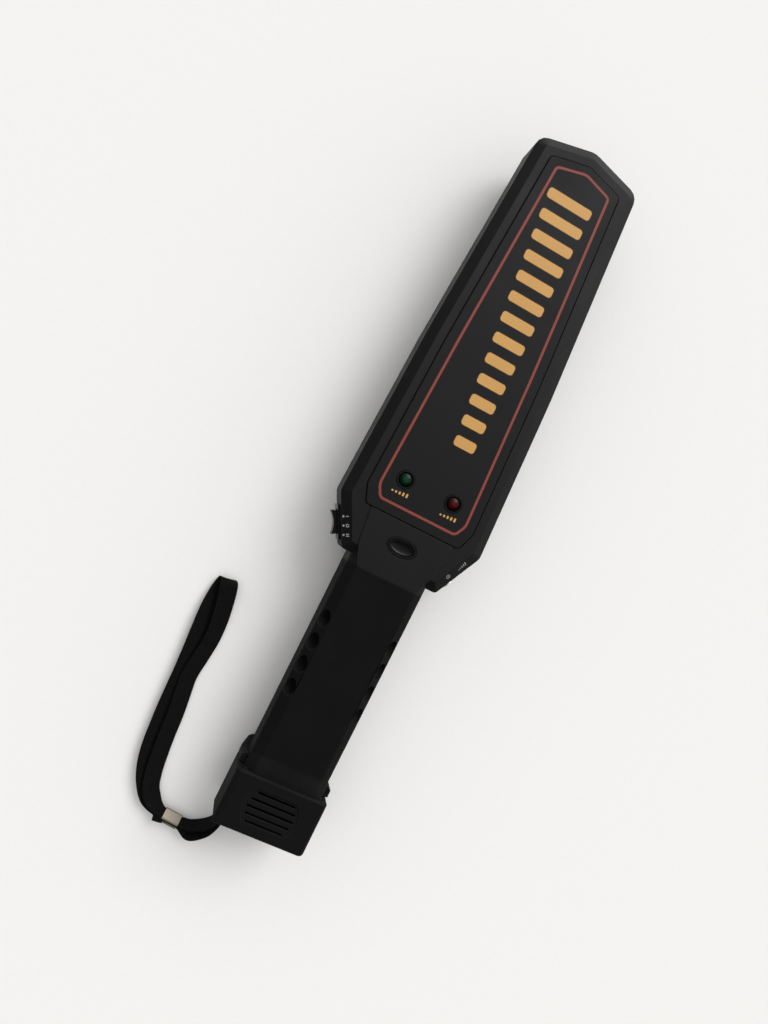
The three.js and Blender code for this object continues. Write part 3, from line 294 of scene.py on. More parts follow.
def mark(kind, u, v, width, height, thickness):
    """One printed mark on its own flat: a bar, a dot or a ring, whose height is its line's width."""
    if kind == "bar":
        corners = ((u - width / 2, v - height / 2), (u + width / 2, v - height / 2),
                   (u + width / 2, v + height / 2), (u - width / 2, v + height / 2))
        return raise_plate(plate(corners, 0.3 * min(width, height)), thickness)
    count = 28
    turns = [2 * math.pi * step / count for step in range(count)]
    rim = [(u + width / 2 * math.cos(turn), v + width / 2 * math.sin(turn)) for turn in turns]
    piece = plate(rim, 0)
    if kind == "ring":
        bpy.ops.mesh.select_mode(type="FACE")
        bpy.ops.mesh.inset(thickness=height)
        bpy.ops.mesh.delete(type="FACE")
    return raise_plate(piece, thickness)


def growing_bars(first, pitch, base, width, lowest, growth):
    """Rows for five bars that stand on a line and grow."""
    rows = []
    for step in range(5):
        rise = lowest + growth * step
        rows.append(("bar", first + pitch * step, base + rise / 2, width, rise))
    return rows


def print_marks(name, rows, place, finish, thickness=INK_MARK):
    """Print marks on one face of the casing, whose own frame is place."""
    piece = joined(name, [mark(*row, thickness) for row in rows])
    piece.data.transform(place)
    piece.data.update()
    give(piece, "casing", finish)


def face_frame(origin, along, normal):
    """The frame of a slanted face: u runs along it, v up it."""
    n = Vector(normal).normalized()
    u = Vector(along)
    u = (u - u.dot(n) * n).normalized()
    v = n.cross(u)
    turn = Matrix((u, v, n)).transposed().to_4x4()
    return Matrix.Translation(Vector(origin)) @ turn


# Finishes


def feed(tree, sockets, values):
    """Link or set each of these sockets in turn."""
    for socket, value in zip(sockets, values):
        if isinstance(value, bpy.types.NodeSocket):
            tree.links.new(value, socket)
        else:
            socket.default_value = value


def node(tree, kind, **values):
    """A shader node with its settings and sockets filled in."""
    made = tree.nodes.new("ShaderNode" + kind)
    for name, value in values.items():
        if name in made.inputs:
            feed(tree, [made.inputs[name]], [value])
        else:
            setattr(made, name, value)
    return made


def math_step(tree, operation, *values):
    """The result of one math step on numbers or sockets."""
    made = node(tree, "Math", operation=operation)
    feed(tree, made.inputs, values)
    return made.outputs[0]


def vector_step(tree, operation, *values):
    """A node that takes one math step on vectors."""
    made = node(tree, "VectorMath", operation=operation)
    feed(tree, made.inputs, values)
    return made


def blank(name):
    """A new material with its shader and its object coordinates."""
    material = bpy.data.materials.new(name)
    material.use_nodes = True
    tree = material.node_tree
    shader = tree.nodes["Principled BSDF"]
    place = node(tree, "TexCoord").outputs["Object"]
    return material, tree, shader, place


def mixed(tree, share, low, high):
    """A colour between two, by a share from 0 to 1."""
    blend = node(tree, "Mix", data_type="RGBA")
    feed(tree, (blend.inputs[0], blend.inputs[6], blend.inputs[7]), (share, low, high))
    return blend.outputs[2]


def noise(tree, place, scale, detail=3.0, stretch=(1, 1, 1)):
    """Noise of this scale per metre, from about 0 to 1."""
    turned = node(tree, "Mapping", Vector=place, Scale=stretch)
    return node(tree, "TexNoise", Vector=turned.outputs[0], Scale=scale, Detail=detail).outputs[0]


def ranged(tree, value, low, high, from_low=0.3, from_high=0.7):
    """A value moved from one range to another."""
    made = node(tree, "MapRange")
    feed(tree, made.inputs, (value, from_low, from_high, low, high))
    return made.outputs[0]


def tint(colour, factor):
    """A colour made lighter or darker by a factor."""
    return tuple(min(1.0, channel * factor) for channel in colour[:3]) + (1.0,)


def worn_and_highlit_edges(tree, radius):
    """A share that rises to 1 on outer edges, partly where handling has worn them and partly as a painted
    highlight.
    """
    rounded = node(tree, "Bevel", samples=4, Radius=radius)
    plain = node(tree, "NewGeometry")
    facing = vector_step(tree, "DOT_PRODUCT", rounded.outputs[0], plain.outputs["Normal"])
    return ranged(tree, facing.outputs["Value"], 1.0, 0.0, 0.8, 0.99)


def surface(tree, shader, colour, rough, relief, depth, strength, specular=0.5):
    """Connect a finish's colour, roughness and fine relief to its shader."""
    bump = node(tree, "Bump", Height=relief, Distance=depth, Strength=strength)
    tree.links.new(colour, shader.inputs["Base Color"])
    tree.links.new(rough, shader.inputs["Roughness"])
    tree.links.new(bump.outputs[0], shader.inputs["Normal"])
    shader.inputs["Specular IOR Level"].default_value = specular


def plastic(name, colour, rough, specular=0.3, grain=0.00004, wear_and_highlight=0.35, coat=0.0, painted_shade_from=None):
    """Moulded plastic: fine spark-eroded grain, faint clouds, worn edges lightened further by a painted
    highlight, and light scuffs.

    From a given place towards the tail, painted shade darkens it and its shine is dulled.
    """
    material, tree, shader, place = blank(name)
    clouds = ranged(tree, noise(tree, place, 38, 4), 0, 1)
    body = mixed(tree, clouds, tint(colour, 0.86), tint(colour, 1.16))
    scuffs = ranged(tree, noise(tree, place, 90, 5, (1, 9, 1)), 0, 0.5, 0.62, 0.78)
    body = mixed(tree, scuffs, body, tint(colour, 1.8))
    shine = ranged(tree, clouds, rough - 0.05, rough + 0.06, 0, 1)
    # Painted shade: darker towards the tail from the given place, where the handle lies in shade.
    if painted_shade_from is not None:
        length = node(tree, "SeparateXYZ", Vector=place).outputs[1]
        painted_shade_share = ranged(tree, length, 1, 0, painted_shade_from - 0.001, painted_shade_from + 0.0005)
        body = mixed(tree, painted_shade_share, body, tint(colour, 0.28))
        shine = math_step(tree, "MULTIPLY_ADD", painted_shade_share, 0.3, shine)
    # Painted highlight on the edges, which also stands for some worn plastic there.
    edge_wear_and_highlight = math_step(tree, "MULTIPLY", worn_and_highlit_edges(tree, 0.0006), wear_and_highlight)
    body = mixed(tree, edge_wear_and_highlight, body, tint(colour, 13.0))
    surface(tree, shader, body, shine, noise(tree, place, 1500, 2), grain, 0.8, specular)
    shader.inputs["Coat Weight"].default_value = coat
    shader.inputs["Coat Roughness"].default_value = 0.12
    return material


def metal(name, colour, rough, brushing=(1, 1, 1), pits=0.00002, metallic=1.0):
    """Plated or turned metal: brushed grain, dull patches and small pits."""
    material, tree, shader, place = blank(name)
    patches = ranged(tree, noise(tree, place, 160, 5), 0, 1)
    body = mixed(tree, patches, tint(colour, 0.8), tint(colour, 1.1))
    shine = ranged(tree, patches, rough, rough + 0.16, 0, 1)
    surface(tree, shader, body, shine, noise(tree, place, 900, 3, brushing), pits, 0.7)
    shader.inputs["Metallic"].default_value = metallic
    return material


def lens(name, colour, centre):
    """Clear-tinted lamp: a painted glow in the middle, where the cup below would show, and painted shade at
    the rim.
    """
    material, tree, shader, place = blank(name)
    moved = node(tree, "Mapping", Vector=place, Location=(-centre[0], -centre[1], 0.0))
    spread = vector_step(tree, "MULTIPLY", moved.outputs[0], (1, 1, 0))
    reach = vector_step(tree, "LENGTH", spread.outputs[0])
    share = ranged(tree, reach.outputs["Value"], 0, 1, 0.0004, 0.0024)
    ripple = noise(tree, place, 500, 2)
    # Painted glow in the middle and painted shade towards the rim.
    painted_glow = mixed(tree, ranged(tree, ripple, 0, 1), tint(colour, 1.5), tint(colour, 2.6))
    body = mixed(tree, share, painted_glow, tint(colour, 0.3))
    surface(tree, shader, body, ranged(tree, ripple, 0.1, 0.2), ripple, 0.00002, 0.4, 0.12)
    return material


def shade(name):
    """Painted shade for a narrow gap: a dull black that catches no light, with a little dust."""
    material, tree, shader, place = blank(name)
    dust = ranged(tree, noise(tree, place, 700, 4), 0, 1, 0.55, 0.8)
    body = mixed(tree, dust, (0.0006, 0.0006, 0.0006, 1), (0.003, 0.003, 0.003, 1))
    tree.links.new(body, shader.inputs["Base Color"])
    tree.links.new(ranged(tree, dust, 0.85, 1.0, 0, 1), shader.inputs["Roughness"])
    shader.inputs["Specular IOR Level"].default_value = 0.0
    return material


def shade_faces(piece, finish, test):
    """Give the faces that pass the test a second material."""
    piece.data.materials.append(finish)
    edit(piece)
    select_faces(test)
    piece.active_material_index = len(piece.data.materials) - 1
    bpy.ops.object.material_slot_assign()
    bpy.ops.object.mode_set(mode="OBJECT")


def ink(name, colour, rough=0.55):
    """Screen-printed ink: a little uneven and thin in places."""
    material, tree, shader, place = blank(name)
    cover = ranged(tree, noise(tree, place, 2600, 4), 0, 1)
    clouds = noise(tree, place, 60, 3)
    body = mixed(tree, cover, tint(colour, 0.86), tint(colour, 1.1))
    body = mixed(tree, ranged(tree, clouds, 0, 0.25), body, tint(colour, 0.8))
    shine = ranged(tree, cover, rough - 0.08, rough + 0.08, 0, 1)
    surface(tree, shader, body, shine, cover, 0.00001, 0.5, 0.3)
    return material


def webbing(name, colour):
    """Ribbed webbing: slanted stitches on each rib, a painted highlight on the ribs' crests and painted
    shade between the ribs, a little dull lint.
    """
    material, tree, shader, place = blank(name)
    along = node(tree, "UVMap", uv_map="Along")
    split = node(tree, "SeparateXYZ", Vector=along.outputs[0])
    rib = math_step(tree, "PINGPONG", split.outputs[0], 0.5)
    crest = ranged(tree, rib, 0, 1, 0.12, 0.42)
    slant = math_step(tree, "MULTIPLY_ADD", rib, 0.9, split.outputs[1])
    stitch = math_step(tree, "PINGPONG", slant, 0.3)
    thread = ranged(tree, stitch, 0, 1, 0.02, 0.26)
    lint = noise(tree, place, 420, 5)
    # Painted highlight on each rib's crest and painted shade in the valleys between them.
    body = mixed(tree, crest, tint(colour, 0.15), tint(colour, 2.2))
    body = mixed(tree, ranged(tree, thread, 0.45, 0, 0, 1), body, tint(colour, 0.4))
    body = mixed(tree, ranged(tree, lint, 0, 0.3, 0.5, 0.8), body, tint(colour, 2.4))
    relief = math_step(tree, "MULTIPLY_ADD", crest, 0.5, thread)
    surface(tree, shader, body, ranged(tree, lint, 0.75, 0.95), relief, 0.00012, 0.8, 0.12)
    shader.inputs["Sheen Weight"].default_value = 0.025
    shader.inputs["Sheen Roughness"].default_value = 0.5
    return material


finishes = {}


def finish_of(slot):
    """The material of one of the record's slots, made at its first use."""
    if slot not in finishes:
        look = bpy.context.scene.wand_colours
        makers = {
            # The casing gets painted shade from 53 mm below the head's middle towards the tail.
            "shell_black": lambda: plastic("Casing plastic", look.casing, 0.56, 0.2, painted_shade_from=-0.053),
            "label_dark": lambda: plastic("Label plate", look.label, 0.58, 0.18, 0.00002, 0.2),
            "cap_black": lambda: plastic("Cap plastic", look.cap, 0.8, 0.15),
            "gloss_black": lambda: plastic("Gloss plastic", look.gloss, 0.25, 0.16, 0.000004, 0.15, 0.03),
            "lens_green": lambda: lens("Green lamp", look.green_lamp, (-0.0145, -0.0012)),
            "lens_red": lambda: lens("Red lamp", look.red_lamp, (0.0145, -0.0012)),
            "steel": lambda: metal("Zinc-plated steel", (0.55, 0.55, 0.54), 0.3),
            "circuit_board": lambda: plastic("Solder mask", (0.025, 0.1, 0.042), 0.3, 0.4, 0.00002, 0.1),
            "copper_winding": lambda: metal("Copper winding", (0.4, 0.16, 0.06), 0.35, (1, 1, 8), 0.0001),
            "wire_red": lambda: plastic("Red insulation", (0.35, 0.02, 0.015), 0.4, 0.4, 0.00001, 0),
            "wire_black": lambda: plastic("Black insulation", (0.01, 0.01, 0.01), 0.4, 0.4, 0.00001, 0),
            "foam": lambda: plastic("Grey foam", (0.04, 0.04, 0.042), 0.95, 0.1, 0.0004, 0),
            "webbing_black": lambda: webbing("Ribbed webbing", look.strap),
            "crimp_grey": lambda: metal("Crimp plating", look.crimp, 0.35, (1, 6, 1), metallic=0.5),
        }
        finishes[slot] = makers[slot]()
    return finishes[slot]


# What a user can change


class WandSizes(bpy.types.PropertyGroup):
    """Sizes of the wand's fine details"""

    soft_edge: bpy.props.FloatProperty(
        name="Soft edge", description="Rounding of the mouldings' edges",
        default=0.00025, min=0.0, max=0.001, subtype="DISTANCE", unit="LENGTH")
    line_width: bpy.props.FloatProperty(
        name="Frame line", description="Width of the printed line round the label",
        default=0.00125, min=0.0002, max=0.004, subtype="DISTANCE", unit="LENGTH")
    line_edge: bpy.props.FloatProperty(
        name="Line edge", description="How far the line's darker edge shows on either side",
        default=0.0002, min=0.0, max=0.001, subtype="DISTANCE", unit="LENGTH")
    line_corner: bpy.props.FloatProperty(
        name="Line corner", description="Rounding of the printed line's corners",
        default=0.0022, min=0.0, max=0.006, subtype="DISTANCE", unit="LENGTH")
    scale_bars: bpy.props.IntProperty(
        name="Scale bars", description="Number of bars in the printed strength scale",
        default=13, min=2, max=30)
    strap_width: bpy.props.FloatProperty(
        name="Strap width", description="Width of the webbing",
        default=0.0102, min=0.005, max=0.02, subtype="DISTANCE", unit="LENGTH")
    strap_thickness: bpy.props.FloatProperty(
        name="Strap thickness", description="Thickness of the webbing over its ribs",
        default=0.0012, min=0.0005, max=0.003, subtype="DISTANCE", unit="LENGTH")
    strap_ribs: bpy.props.IntProperty(
        name="Strap ribs", description="Lengthwise ribs on each face of the webbing",
        default=8, min=2, max=16)


def colour_property(name, description, default):
    """A colour that a user can change."""
    return bpy.props.FloatVectorProperty(
        name=name, description=description, default=default, subtype="COLOR", size=3, min=0.0, max=1.0)


class WandColours(bpy.types.PropertyGroup):
    """Colours of the wand's finishes"""

    casing: colour_property("Casing", "Colour of both shells", (0.0045, 0.0045, 0.0048))
    label: colour_property("Label plate", "Colour of the label plate", (0.0045, 0.0045, 0.0048))
    cap: colour_property("Cap", "Colour of the end cap", (0.003, 0.003, 0.0032))
    gloss: colour_property("Gloss", "Colour of the button, switch and rings", (0.0025, 0.0025, 0.003))
    line: colour_property("Frame line", "Colour of the printed line", (0.24, 0.042, 0.028))
    line_edge: colour_property("Line edge", "Colour of the printed line's edge", (0.05, 0.01, 0.006))
    scale: colour_property("Scale", "Colour of the printed bars", (0.57, 0.305, 0.084))
    scale_edge: colour_property("Scale edge", "Colour of the bars' printed edge", (0.06, 0.018, 0.006))
    marks: colour_property("Marks", "Colour of the small marks on the shoulders", (0.34, 0.34, 0.34))
    green_lamp: colour_property("Green lamp", "Tint of the left lamp", (0.0015, 0.024, 0.0095))
    red_lamp: colour_property("Red lamp", "Tint of the right lamp", (0.036, 0.0013, 0.0016))
    strap: colour_property("Strap", "Colour of the webbing", (0.0024, 0.0024, 0.0027))
    crimp: colour_property("Crimp", "Colour of the crimp's plating", (0.235, 0.204, 0.159))


# The pieces


class WAND_OT_camera(bpy.types.Operator):
    """Set the camera above the wand"""

    bl_idname = "wand.camera"
    bl_label = "Camera"

    def execute(self, context):
        clear()
        bpy.ops.object.camera_add()
        camera = context.active_object
        right = Vector((0.87884, 0.44517, 0.17167))
        down = Vector((0.44351, -0.89487, 0.0501))
        ahead = Vector((0.17592, 0.0321, -0.98388))
        turn = Matrix((right, -down, -ahead)).transposed().to_4x4()
        place = (-0.0875, -0.0344, 0.4372)
        camera.matrix_world = Matrix.Translation(place) @ turn
        camera.data.lens = 26.72
        camera.data.sensor_width = 36.0
        camera.data.clip_start = 0.01
        context.scene.camera = camera
        return {"FINISHED"}


def along_curve(points, share):
    """A point on the smooth curve through these points, spaced by the root of their distance."""
    count = len(points)
    spot = share * (count - 1)
    index = min(int(spot), count - 2)
    weight = spot - index
    p1, p2 = points[index], points[index + 1]
    p0 = points[index - 1] if index else 2 * points[0] - points[1]
    p3 = points[index + 2] if index + 2 < count else 2 * points[-1] - points[-2]
    d0, d1, d2 = (np.linalg.norm(b - a) ** 0.5 for a, b in ((p0, p1), (p1, p2), (p2, p3)))
    least = 1e-4
    d1 = d1 if d1 > least else 1.0
    d0 = d0 if d0 > least else d1
    d2 = d2 if d2 > least else d1
    t1 = ((p1 - p0) / d0 - (p2 - p0) / (d0 + d1) + (p2 - p1) / d1) * d1
    t2 = ((p2 - p1) / d1 - (p3 - p1) / (d1 + d2) + (p3 - p2) / d2) * d1
    cubic = 2 * p1 - 2 * p2 + t1 + t2
    square = -3 * p1 + 3 * p2 - 2 * t1 - t2
    return p1 + weight * (t1 + weight * (square + weight * cubic))


def unit(vector):
    """A vector made one long."""
    return vector / np.linalg.norm(vector)


def strap_stations(rows, side):
    """Middle, lengthwise, widthwise and through directions at each row of the strap's route."""
    middles = [np.array(row[:3]) for row in rows]
    stations = []
    for index, row in enumerate(rows):
        along = unit(middles[min(index + 1, len(rows) - 1)] - middles[max(index - 1, 0)])
        facing, lean = math.radians(row[3]), math.radians(row[4])
        flat = math.cos(lean)
        across = np.array([math.cos(facing) * flat, math.sin(facing) * flat, math.sin(lean)])
        across = unit(across - along * across.dot(along))
        through = np.cross(along, across)
        middle = middles[index] + through * side * STRAND_OFFSET
        if side < 0:
            middle = middle + np.array([-along[1], along[0], 0.0]) * row[5]
        stations.append((middle, along, across, through))
    return stations


def strap_rings():
    """Middle, across and through at each ring of the whole strap."""
    tail_end = STRAP_TAIL[-1]
    loop = strap_stations((tail_end, *STRAP_LOOP, tail_end), 0)[1:-1]
    line = strap_stations(STRAP_TAIL, 1) + loop + strap_stations(STRAP_TAIL, -1)[::-1]
    middles = [station[0] for station in line]
    acrosses = [station[2] for station in line]
    reach = 0.0001
    rings = []
    for step in range(STRAP_RINGS + 1):
        share = step / STRAP_RINGS
        near, far = max(0.0, share - reach), min(1.0, share + reach)
        along = unit(along_curve(middles, far) - along_curve(middles, near))
        across = along_curve(acrosses, share)
        across = unit(across - along * across.dot(along))
        middle = along_curve(middles, share)
        rings.append((middle, across * gathered(middle), np.cross(along, across)))
    return rings


def gathered(middle):
    """The share of its width that the webbing keeps here, because the crimp gathers it."""
    from_crimp = float(np.linalg.norm(middle - np.array(STRAP_TAIL[-2][:3])))
    near = (GATHERED_FAR - from_crimp) / (GATHERED_FAR - GATHERED_NEAR)
    near = min(1.0, max(0.0, near))
    return 1.0 - GATHERED * near * near * (3.0 - 2.0 * near)


def webbing_section(sizes):
    """The webbing's cross-section as (place across, height, rib number), once round."""
    half, thick, ribs = sizes.strap_width / 2, sizes.strap_thickness / 2, sizes.strap_ribs
    ribbed, valley, side = 0.97, 0.68, 0.3 * thick
    steps = 4 * ribs
    face = []
    for step in range(steps + 1):
        rib = step / steps * ribs
        rise = math.sin(math.pi * (rib % 1.0)) ** 0.7
        place = ribbed * half * (2 * step / steps - 1)
        face.append((place, thick * (valley + (1 - valley) * rise), rib))
    right = [(half, side, ribs), (half, -side, ribs)]
    left = [(-half, -side, 0.0), (-half, side, 0.0)]
    return face + right + [(w, -t, r) for w, t, r in face[::-1]] + left


def webbing_tube(name, rings, sizes):
    """Webbing along the rings as one closed mesh, with a map that follows its ribs and its length."""
    section = webbing_section(sizes)
    count = len(section)
    points, lengths, run = [], [], 0.0
    for index, (middle, across, through) in enumerate(rings):
        if index:
            run += float(np.linalg.norm(middle - rings[index - 1][0]))
        lengths.append(run)
        points += [tuple(middle + across * w + through * t) for w, t, _ in section]
    faces, spots = [], []
    rib = sizes.strap_width / sizes.strap_ribs
    for index in range(len(rings) - 1):
        a, b = index * count, (index + 1) * count
        v0, v1 = lengths[index] / rib, lengths[index + 1] / rib
        for step in range(count):
            after = (step + 1) % count
            faces.append((a + step, a + after, b + after, b + step))
            u0, u1 = section[step][2], section[after][2]
            spots += [(u0, v0), (u1, v0), (u1, v1), (u0, v1)]
    last = (len(rings) - 1) * count
    faces += [tuple(range(count))[::-1], tuple(range(last, last + count))]
    spots += [(0.0, 0.0)] * (2 * count)
    mesh = bpy.data.meshes.new(name)
    mesh.from_pydata(points, [], faces)
    mesh.uv_layers.new(name="Along").data.foreach_set("uv", np.array(spots, np.float32).ravel())
    piece = bpy.data.objects.new(name, mesh)
    bpy.context.scene.collection.objects.link(piece)
    edit(piece)
    done()
    pick(piece)
    bpy.ops.object.shade_smooth_by_angle(angle=math.radians(60))
    return piece


class WAND_OT_strap(bpy.types.Operator):
    """Weave the wrist strap with its crimp and cut end"""

    bl_idname = "wand.strap"
    bl_label = "Wrist strap"

    def execute(self, context):
        sizes = context.scene.wand_sizes
        rings = strap_rings()
        strap = webbing_tube("wrist_webbing", rings, sizes)
        give(strap, "cap", finish_of("webbing_black"), ["wrist_strap"])
        crimp = self.crimp()
        give(crimp, "cap", finish_of("crimp_grey"), ["strap_crimp"])
        tail = self.cut_end(sizes)
        give(tail, "cap", finish_of("webbing_black"))
        return {"FINISHED"}

    def crimp(self):
        """A folded sleeve of sheet metal, pressed round both strands, with its lapped flap on top."""
        middle, along, across, through = strap_stations(STRAP_TAIL, 0)[-2]
        width, height, length = 0.0080, 0.0039, 0.0100
        sleeve = self.sleeve(width, height, length)
        flap = self.flap(width, height, length)
        piece = joined("crimp_sleeve", [sleeve, flap])
        turn = Matrix((Vector(across), Vector(through), Vector(along))).transposed().to_4x4()
        piece.data.transform(Matrix.Translation(Vector(middle)) @ turn)
        piece.data.update()
        return piece

    def sleeve(self, width, height, length):
        """A bent tube of sheet, open at both ends, with one long corner pressed flat."""
        sheet, bend, corner = 0.0005, 0.0008, 0.0016
        clear()
        bpy.ops.mesh.primitive_cube_add(size=1)
        sleeve = bpy.context.active_object
        sleeve.data.transform(Matrix.Diagonal((width - 2 * sheet, height - 2 * sheet, length, 1)))
        edit(sleeve)
        select_edges(lambda spot, way: abs(way.z) > 0.9 and (spot.x < 0 or spot.y < 0))
        bpy.ops.mesh.bevel(offset=bend, segments=4, affect="EDGES")
        bpy.ops.mesh.select_all(action="SELECT")
        edge = (width / 2 - corner, height / 2 - sheet, 0)
        bpy.ops.mesh.bisect(plane_co=edge, plane_no=(0.877, 0.482, 0), use_fill=True, clear_outer=True)
        select_faces(lambda spot, normal: abs(normal.z) > 0.9)
        bpy.ops.mesh.delete(type="FACE")
        done()
        wall = sleeve.modifiers.new("Sheet", "SOLIDIFY")
        wall.thickness = sheet
        wall.offset = 1.0
        bpy.ops.object.modifier_apply(modifier=wall.name)
        soften(sleeve, 0.00012)
        return sleeve

    def flap(self, width, height, length):
        """The sheet's lapped end on top of the sleeve."""
        narrower, thickness, shorter = 0.0027, 0.00032, 0.0001
        aside, rise, bend = 0.00035, 0.0001, 0.00012
        clear()
        bpy.ops.mesh.primitive_cube_add(size=1)
        flap = bpy.context.active_object
        flap.data.transform(Matrix.Diagonal((width - narrower, thickness, length - shorter, 1)))
        flap.data.transform(Matrix.Translation((-aside, height / 2 + rise, 0)))
        edit(flap)
        select_edges(lambda spot, way: abs(way.z) > 0.9 and spot.y > height / 2)
        bpy.ops.mesh.bevel(offset=bend, segments=2, affect="EDGES")
        done()
        soften(flap, 0.00005)
        return flap

    def cut_end(self, sizes):
        """The strap's cut end, which shows past the crimp on the loop's side."""
        middle, along, across, through = strap_stations(STRAP_TAIL, 0)[-2]
        ahead, aside = 0.0040, 0.0026
        start = middle + along * ahead + across * aside
        way = unit(along + across * 0.25 - through * 0.1)
        side = unit(across - way * across.dot(way))
        length, width, taper, thicker, steps = 0.0056, 0.42, 0.1, 1.3, 6
        rings = []
        for step in range(steps + 1):
            share = step / steps
            narrow = width - taper * share * share
            rings.append((start + way * length * share, side * narrow, np.cross(way, side) * thicker))
        return webbing_tube("strap_cut_end", rings, sizes)


class WAND_OT_casing(bpy.types.Operator):
    """Dress both shells and their screws"""

    bl_idname = "wand.casing"
    bl_label = "Casing"

    def execute(self, context):
        soft = context.scene.wand_sizes.soft_edge
        dress(["front_shell", "rear_shell"], soft)
        dress([f"case_screw_{number}" for number in range(1, 8)], FINE_EDGE)
        return {"FINISHED"}


class WAND_OT_label(bpy.types.Operator):
    """Dress the label plate and print its frame line, strength scale and lamp marks"""

    bl_idname = "wand.label"
    bl_label = "Label"

    def execute(self, context):
        sizes, look = context.scene.wand_sizes, context.scene.wand_colours
        panel = dress(["label_panel"], FINE_EDGE)
        # Painted shade: the plate's side wall and its rounded edge towards the tip and the right are made
        # dull black.
        shade_faces(panel, shade("Seam shade"), self.in_seam)
        edge_width = sizes.line_width + 2 * sizes.line_edge
        self.frame_line("label_line_edge", edge_width, INK_EDGE, ink("Line edge ink", look.line_edge))
        self.frame_line("label_line", sizes.line_width, INK_LINE, ink("Frame line ink", look.line))
        on_label = Matrix.Translation((0, 0, LABEL_TOP))
        bars = self.scale_bars(sizes.scale_bars)
        rim = 0.0007
        wider = [(kind, u, v, width + rim, height + rim) for kind, u, v, width, height in bars]
        print_marks("scale_edges", wider, on_label, ink("Scale edge ink", look.scale_edge), INK_EDGE)
        print_marks("strength_scale", bars, on_label, ink("Scale ink", look.scale, 0.45), INK_BAR)
        ticks = []
        for first in (-0.0185, 0.0107):
            ticks += growing_bars(first, 0.0021, -0.0097, 0.0011, 0.0010, 0.0003)
        print_marks("lamp_marks", ticks, on_label, ink("Lamp mark ink", look.scale), INK_LINE)
        return {"FINISHED"}

    def in_seam(self, spot, normal):
        """Whether a face is the plate's side wall, or its rounded edge on the tip's and the right side."""
        return normal.z < 0.3 or (normal.z < 0.85 and normal.x + normal.y > 0.0)

    def frame_line(self, name, width, thickness, finish):
        """Print the line round the label, this wide and thick."""
        corner = bpy.context.scene.wand_sizes.line_corner
        line = plate(grown(LABEL_LINE, width / 2), corner)
        bpy.ops.mesh.select_mode(type="FACE")
        bpy.ops.mesh.select_all(action="SELECT")
        bpy.ops.mesh.inset(thickness=width, use_even_offset=True)
        bpy.ops.mesh.delete(type="FACE")
        raise_plate(line, thickness)
        piece = joined(name, [line])
        piece.data.transform(Matrix.Translation((0, 0, LABEL_TOP)))
        give(piece, "casing", finish)

    def scale_bars(self, count):
        """Bars that grow towards the tip, as a strength scale has them."""
        first, last, base = 0.0300, 0.1710, 0.0120
        shortest, growth, thick = 0.0125, 0.0145, 0.0058
        bars = []
        for step in range(count):
            share = step / (count - 1)
            length = shortest + growth * share
            bars.append(("bar", base - length / 2, first + (last - first) * share, length, thick))
        return bars


class WAND_OT_lamps(bpy.types.Operator):
    """Dress both lamps and their rings"""

    bl_idname = "wand.lamps"
    bl_label = "Lamps"

    def execute(self, context):
        dress(["led_green", "led_red"], 0.0)
        dress(["led_bezel_left", "led_bezel_right"], FINE_EDGE)
        return {"FINISHED"}


class WAND_OT_button(bpy.types.Operator):
    """Dress the reset button and its frame"""

    bl_idname = "wand.button"
    bl_label = "Reset button"

    def execute(self, context):
        dress(["reset_bezel", "reset_button"], 0.00012)
        return {"FINISHED"}


class WAND_OT_switch(bpy.types.Operator):
    """Dress the rocker switch and print its position marks"""

    bl_idname = "wand.switch"
    bl_label = "Rocker switch"

    def execute(self, context):
        dress(["rocker_housing", "power_rocker"], 0.0002)
        face = face_frame((-0.03277, -0.03746, 0.04095), (0.4563, -0.8898, 0), (-0.48, -0.246, 0.842))
        pitch, above, stroke, tall = 0.0049, 0.0023, 0.0005, 0.0018
        rows = [("dot", pitch * step, 0.0, 0.0012, 0) for step in (-1, 0, 1)]
        rows.append(("bar", -pitch, above, stroke, tall))
        rows.append(("ring", 0.0, above, 0.0019, 0.00042))
        rows += [("bar", place, above, stroke, tall) for place in (0.0045, 0.0055)]
        print_marks("switch_marks", rows, face, ink("Mark ink", context.scene.wand_colours.marks))
        return {"FINISHED"}


class WAND_OT_sockets(bpy.types.Operator):
    """Dress the phone socket and the adjuster and print their marks"""

    bl_idname = "wand.sockets"
    bl_label = "Socket and adjuster"

    def execute(self, context):
        dress(["phone_jack", "phone_jack_nut", "sensitivity_trimmer", "sensitivity_knob"], FINE_EDGE)
        face = face_frame((0.0345, -0.0335, 0.0411), (0.4563, 0.8898, 0), (0.48, -0.246, 0.842))
        u, v = -0.0051, 0.0026
        rows = [("ring", u, v, 0.0024, 0.0003), ("dot", u, v, 0.0006, 0)]
        rows += growing_bars(0.0018, 0.0012, 0.0015, 0.0005, 0.0006, 0.0004)
        print_marks("socket_marks", rows, face, ink("Socket mark ink", context.scene.wand_colours.marks))
        return {"FINISHED"}


class WAND_OT_cap(bpy.types.Operator):
    """Dress the end cap, its strap pin and its foam pad"""

    bl_idname = "wand.cap"
    bl_label = "End cap"

    def execute(self, context):
        cap = dress(["end_cap"], context.scene.wand_sizes.soft_edge)
        # Painted shade: the floors of the thumb pad's grooves are made dull black.
        shade_faces(cap, shade("Groove shade"), self.in_groove)
        dress(["strap_pin"], FINE_EDGE)
        dress(["battery_pad"], 0.0003)
        return {"FINISHED"}

    def in_groove(self, spot, normal):
        """Whether a face's middle lies down in one of the thumb pad's grooves."""
        deep = LABEL_TOP - GROOVE_DEEPEST < spot.z < LABEL_TOP - GROOVE_SHALLOWEST
        return deep and abs(spot.x) < PAD_HALF and PAD_LOW < spot.y < PAD_HIGH


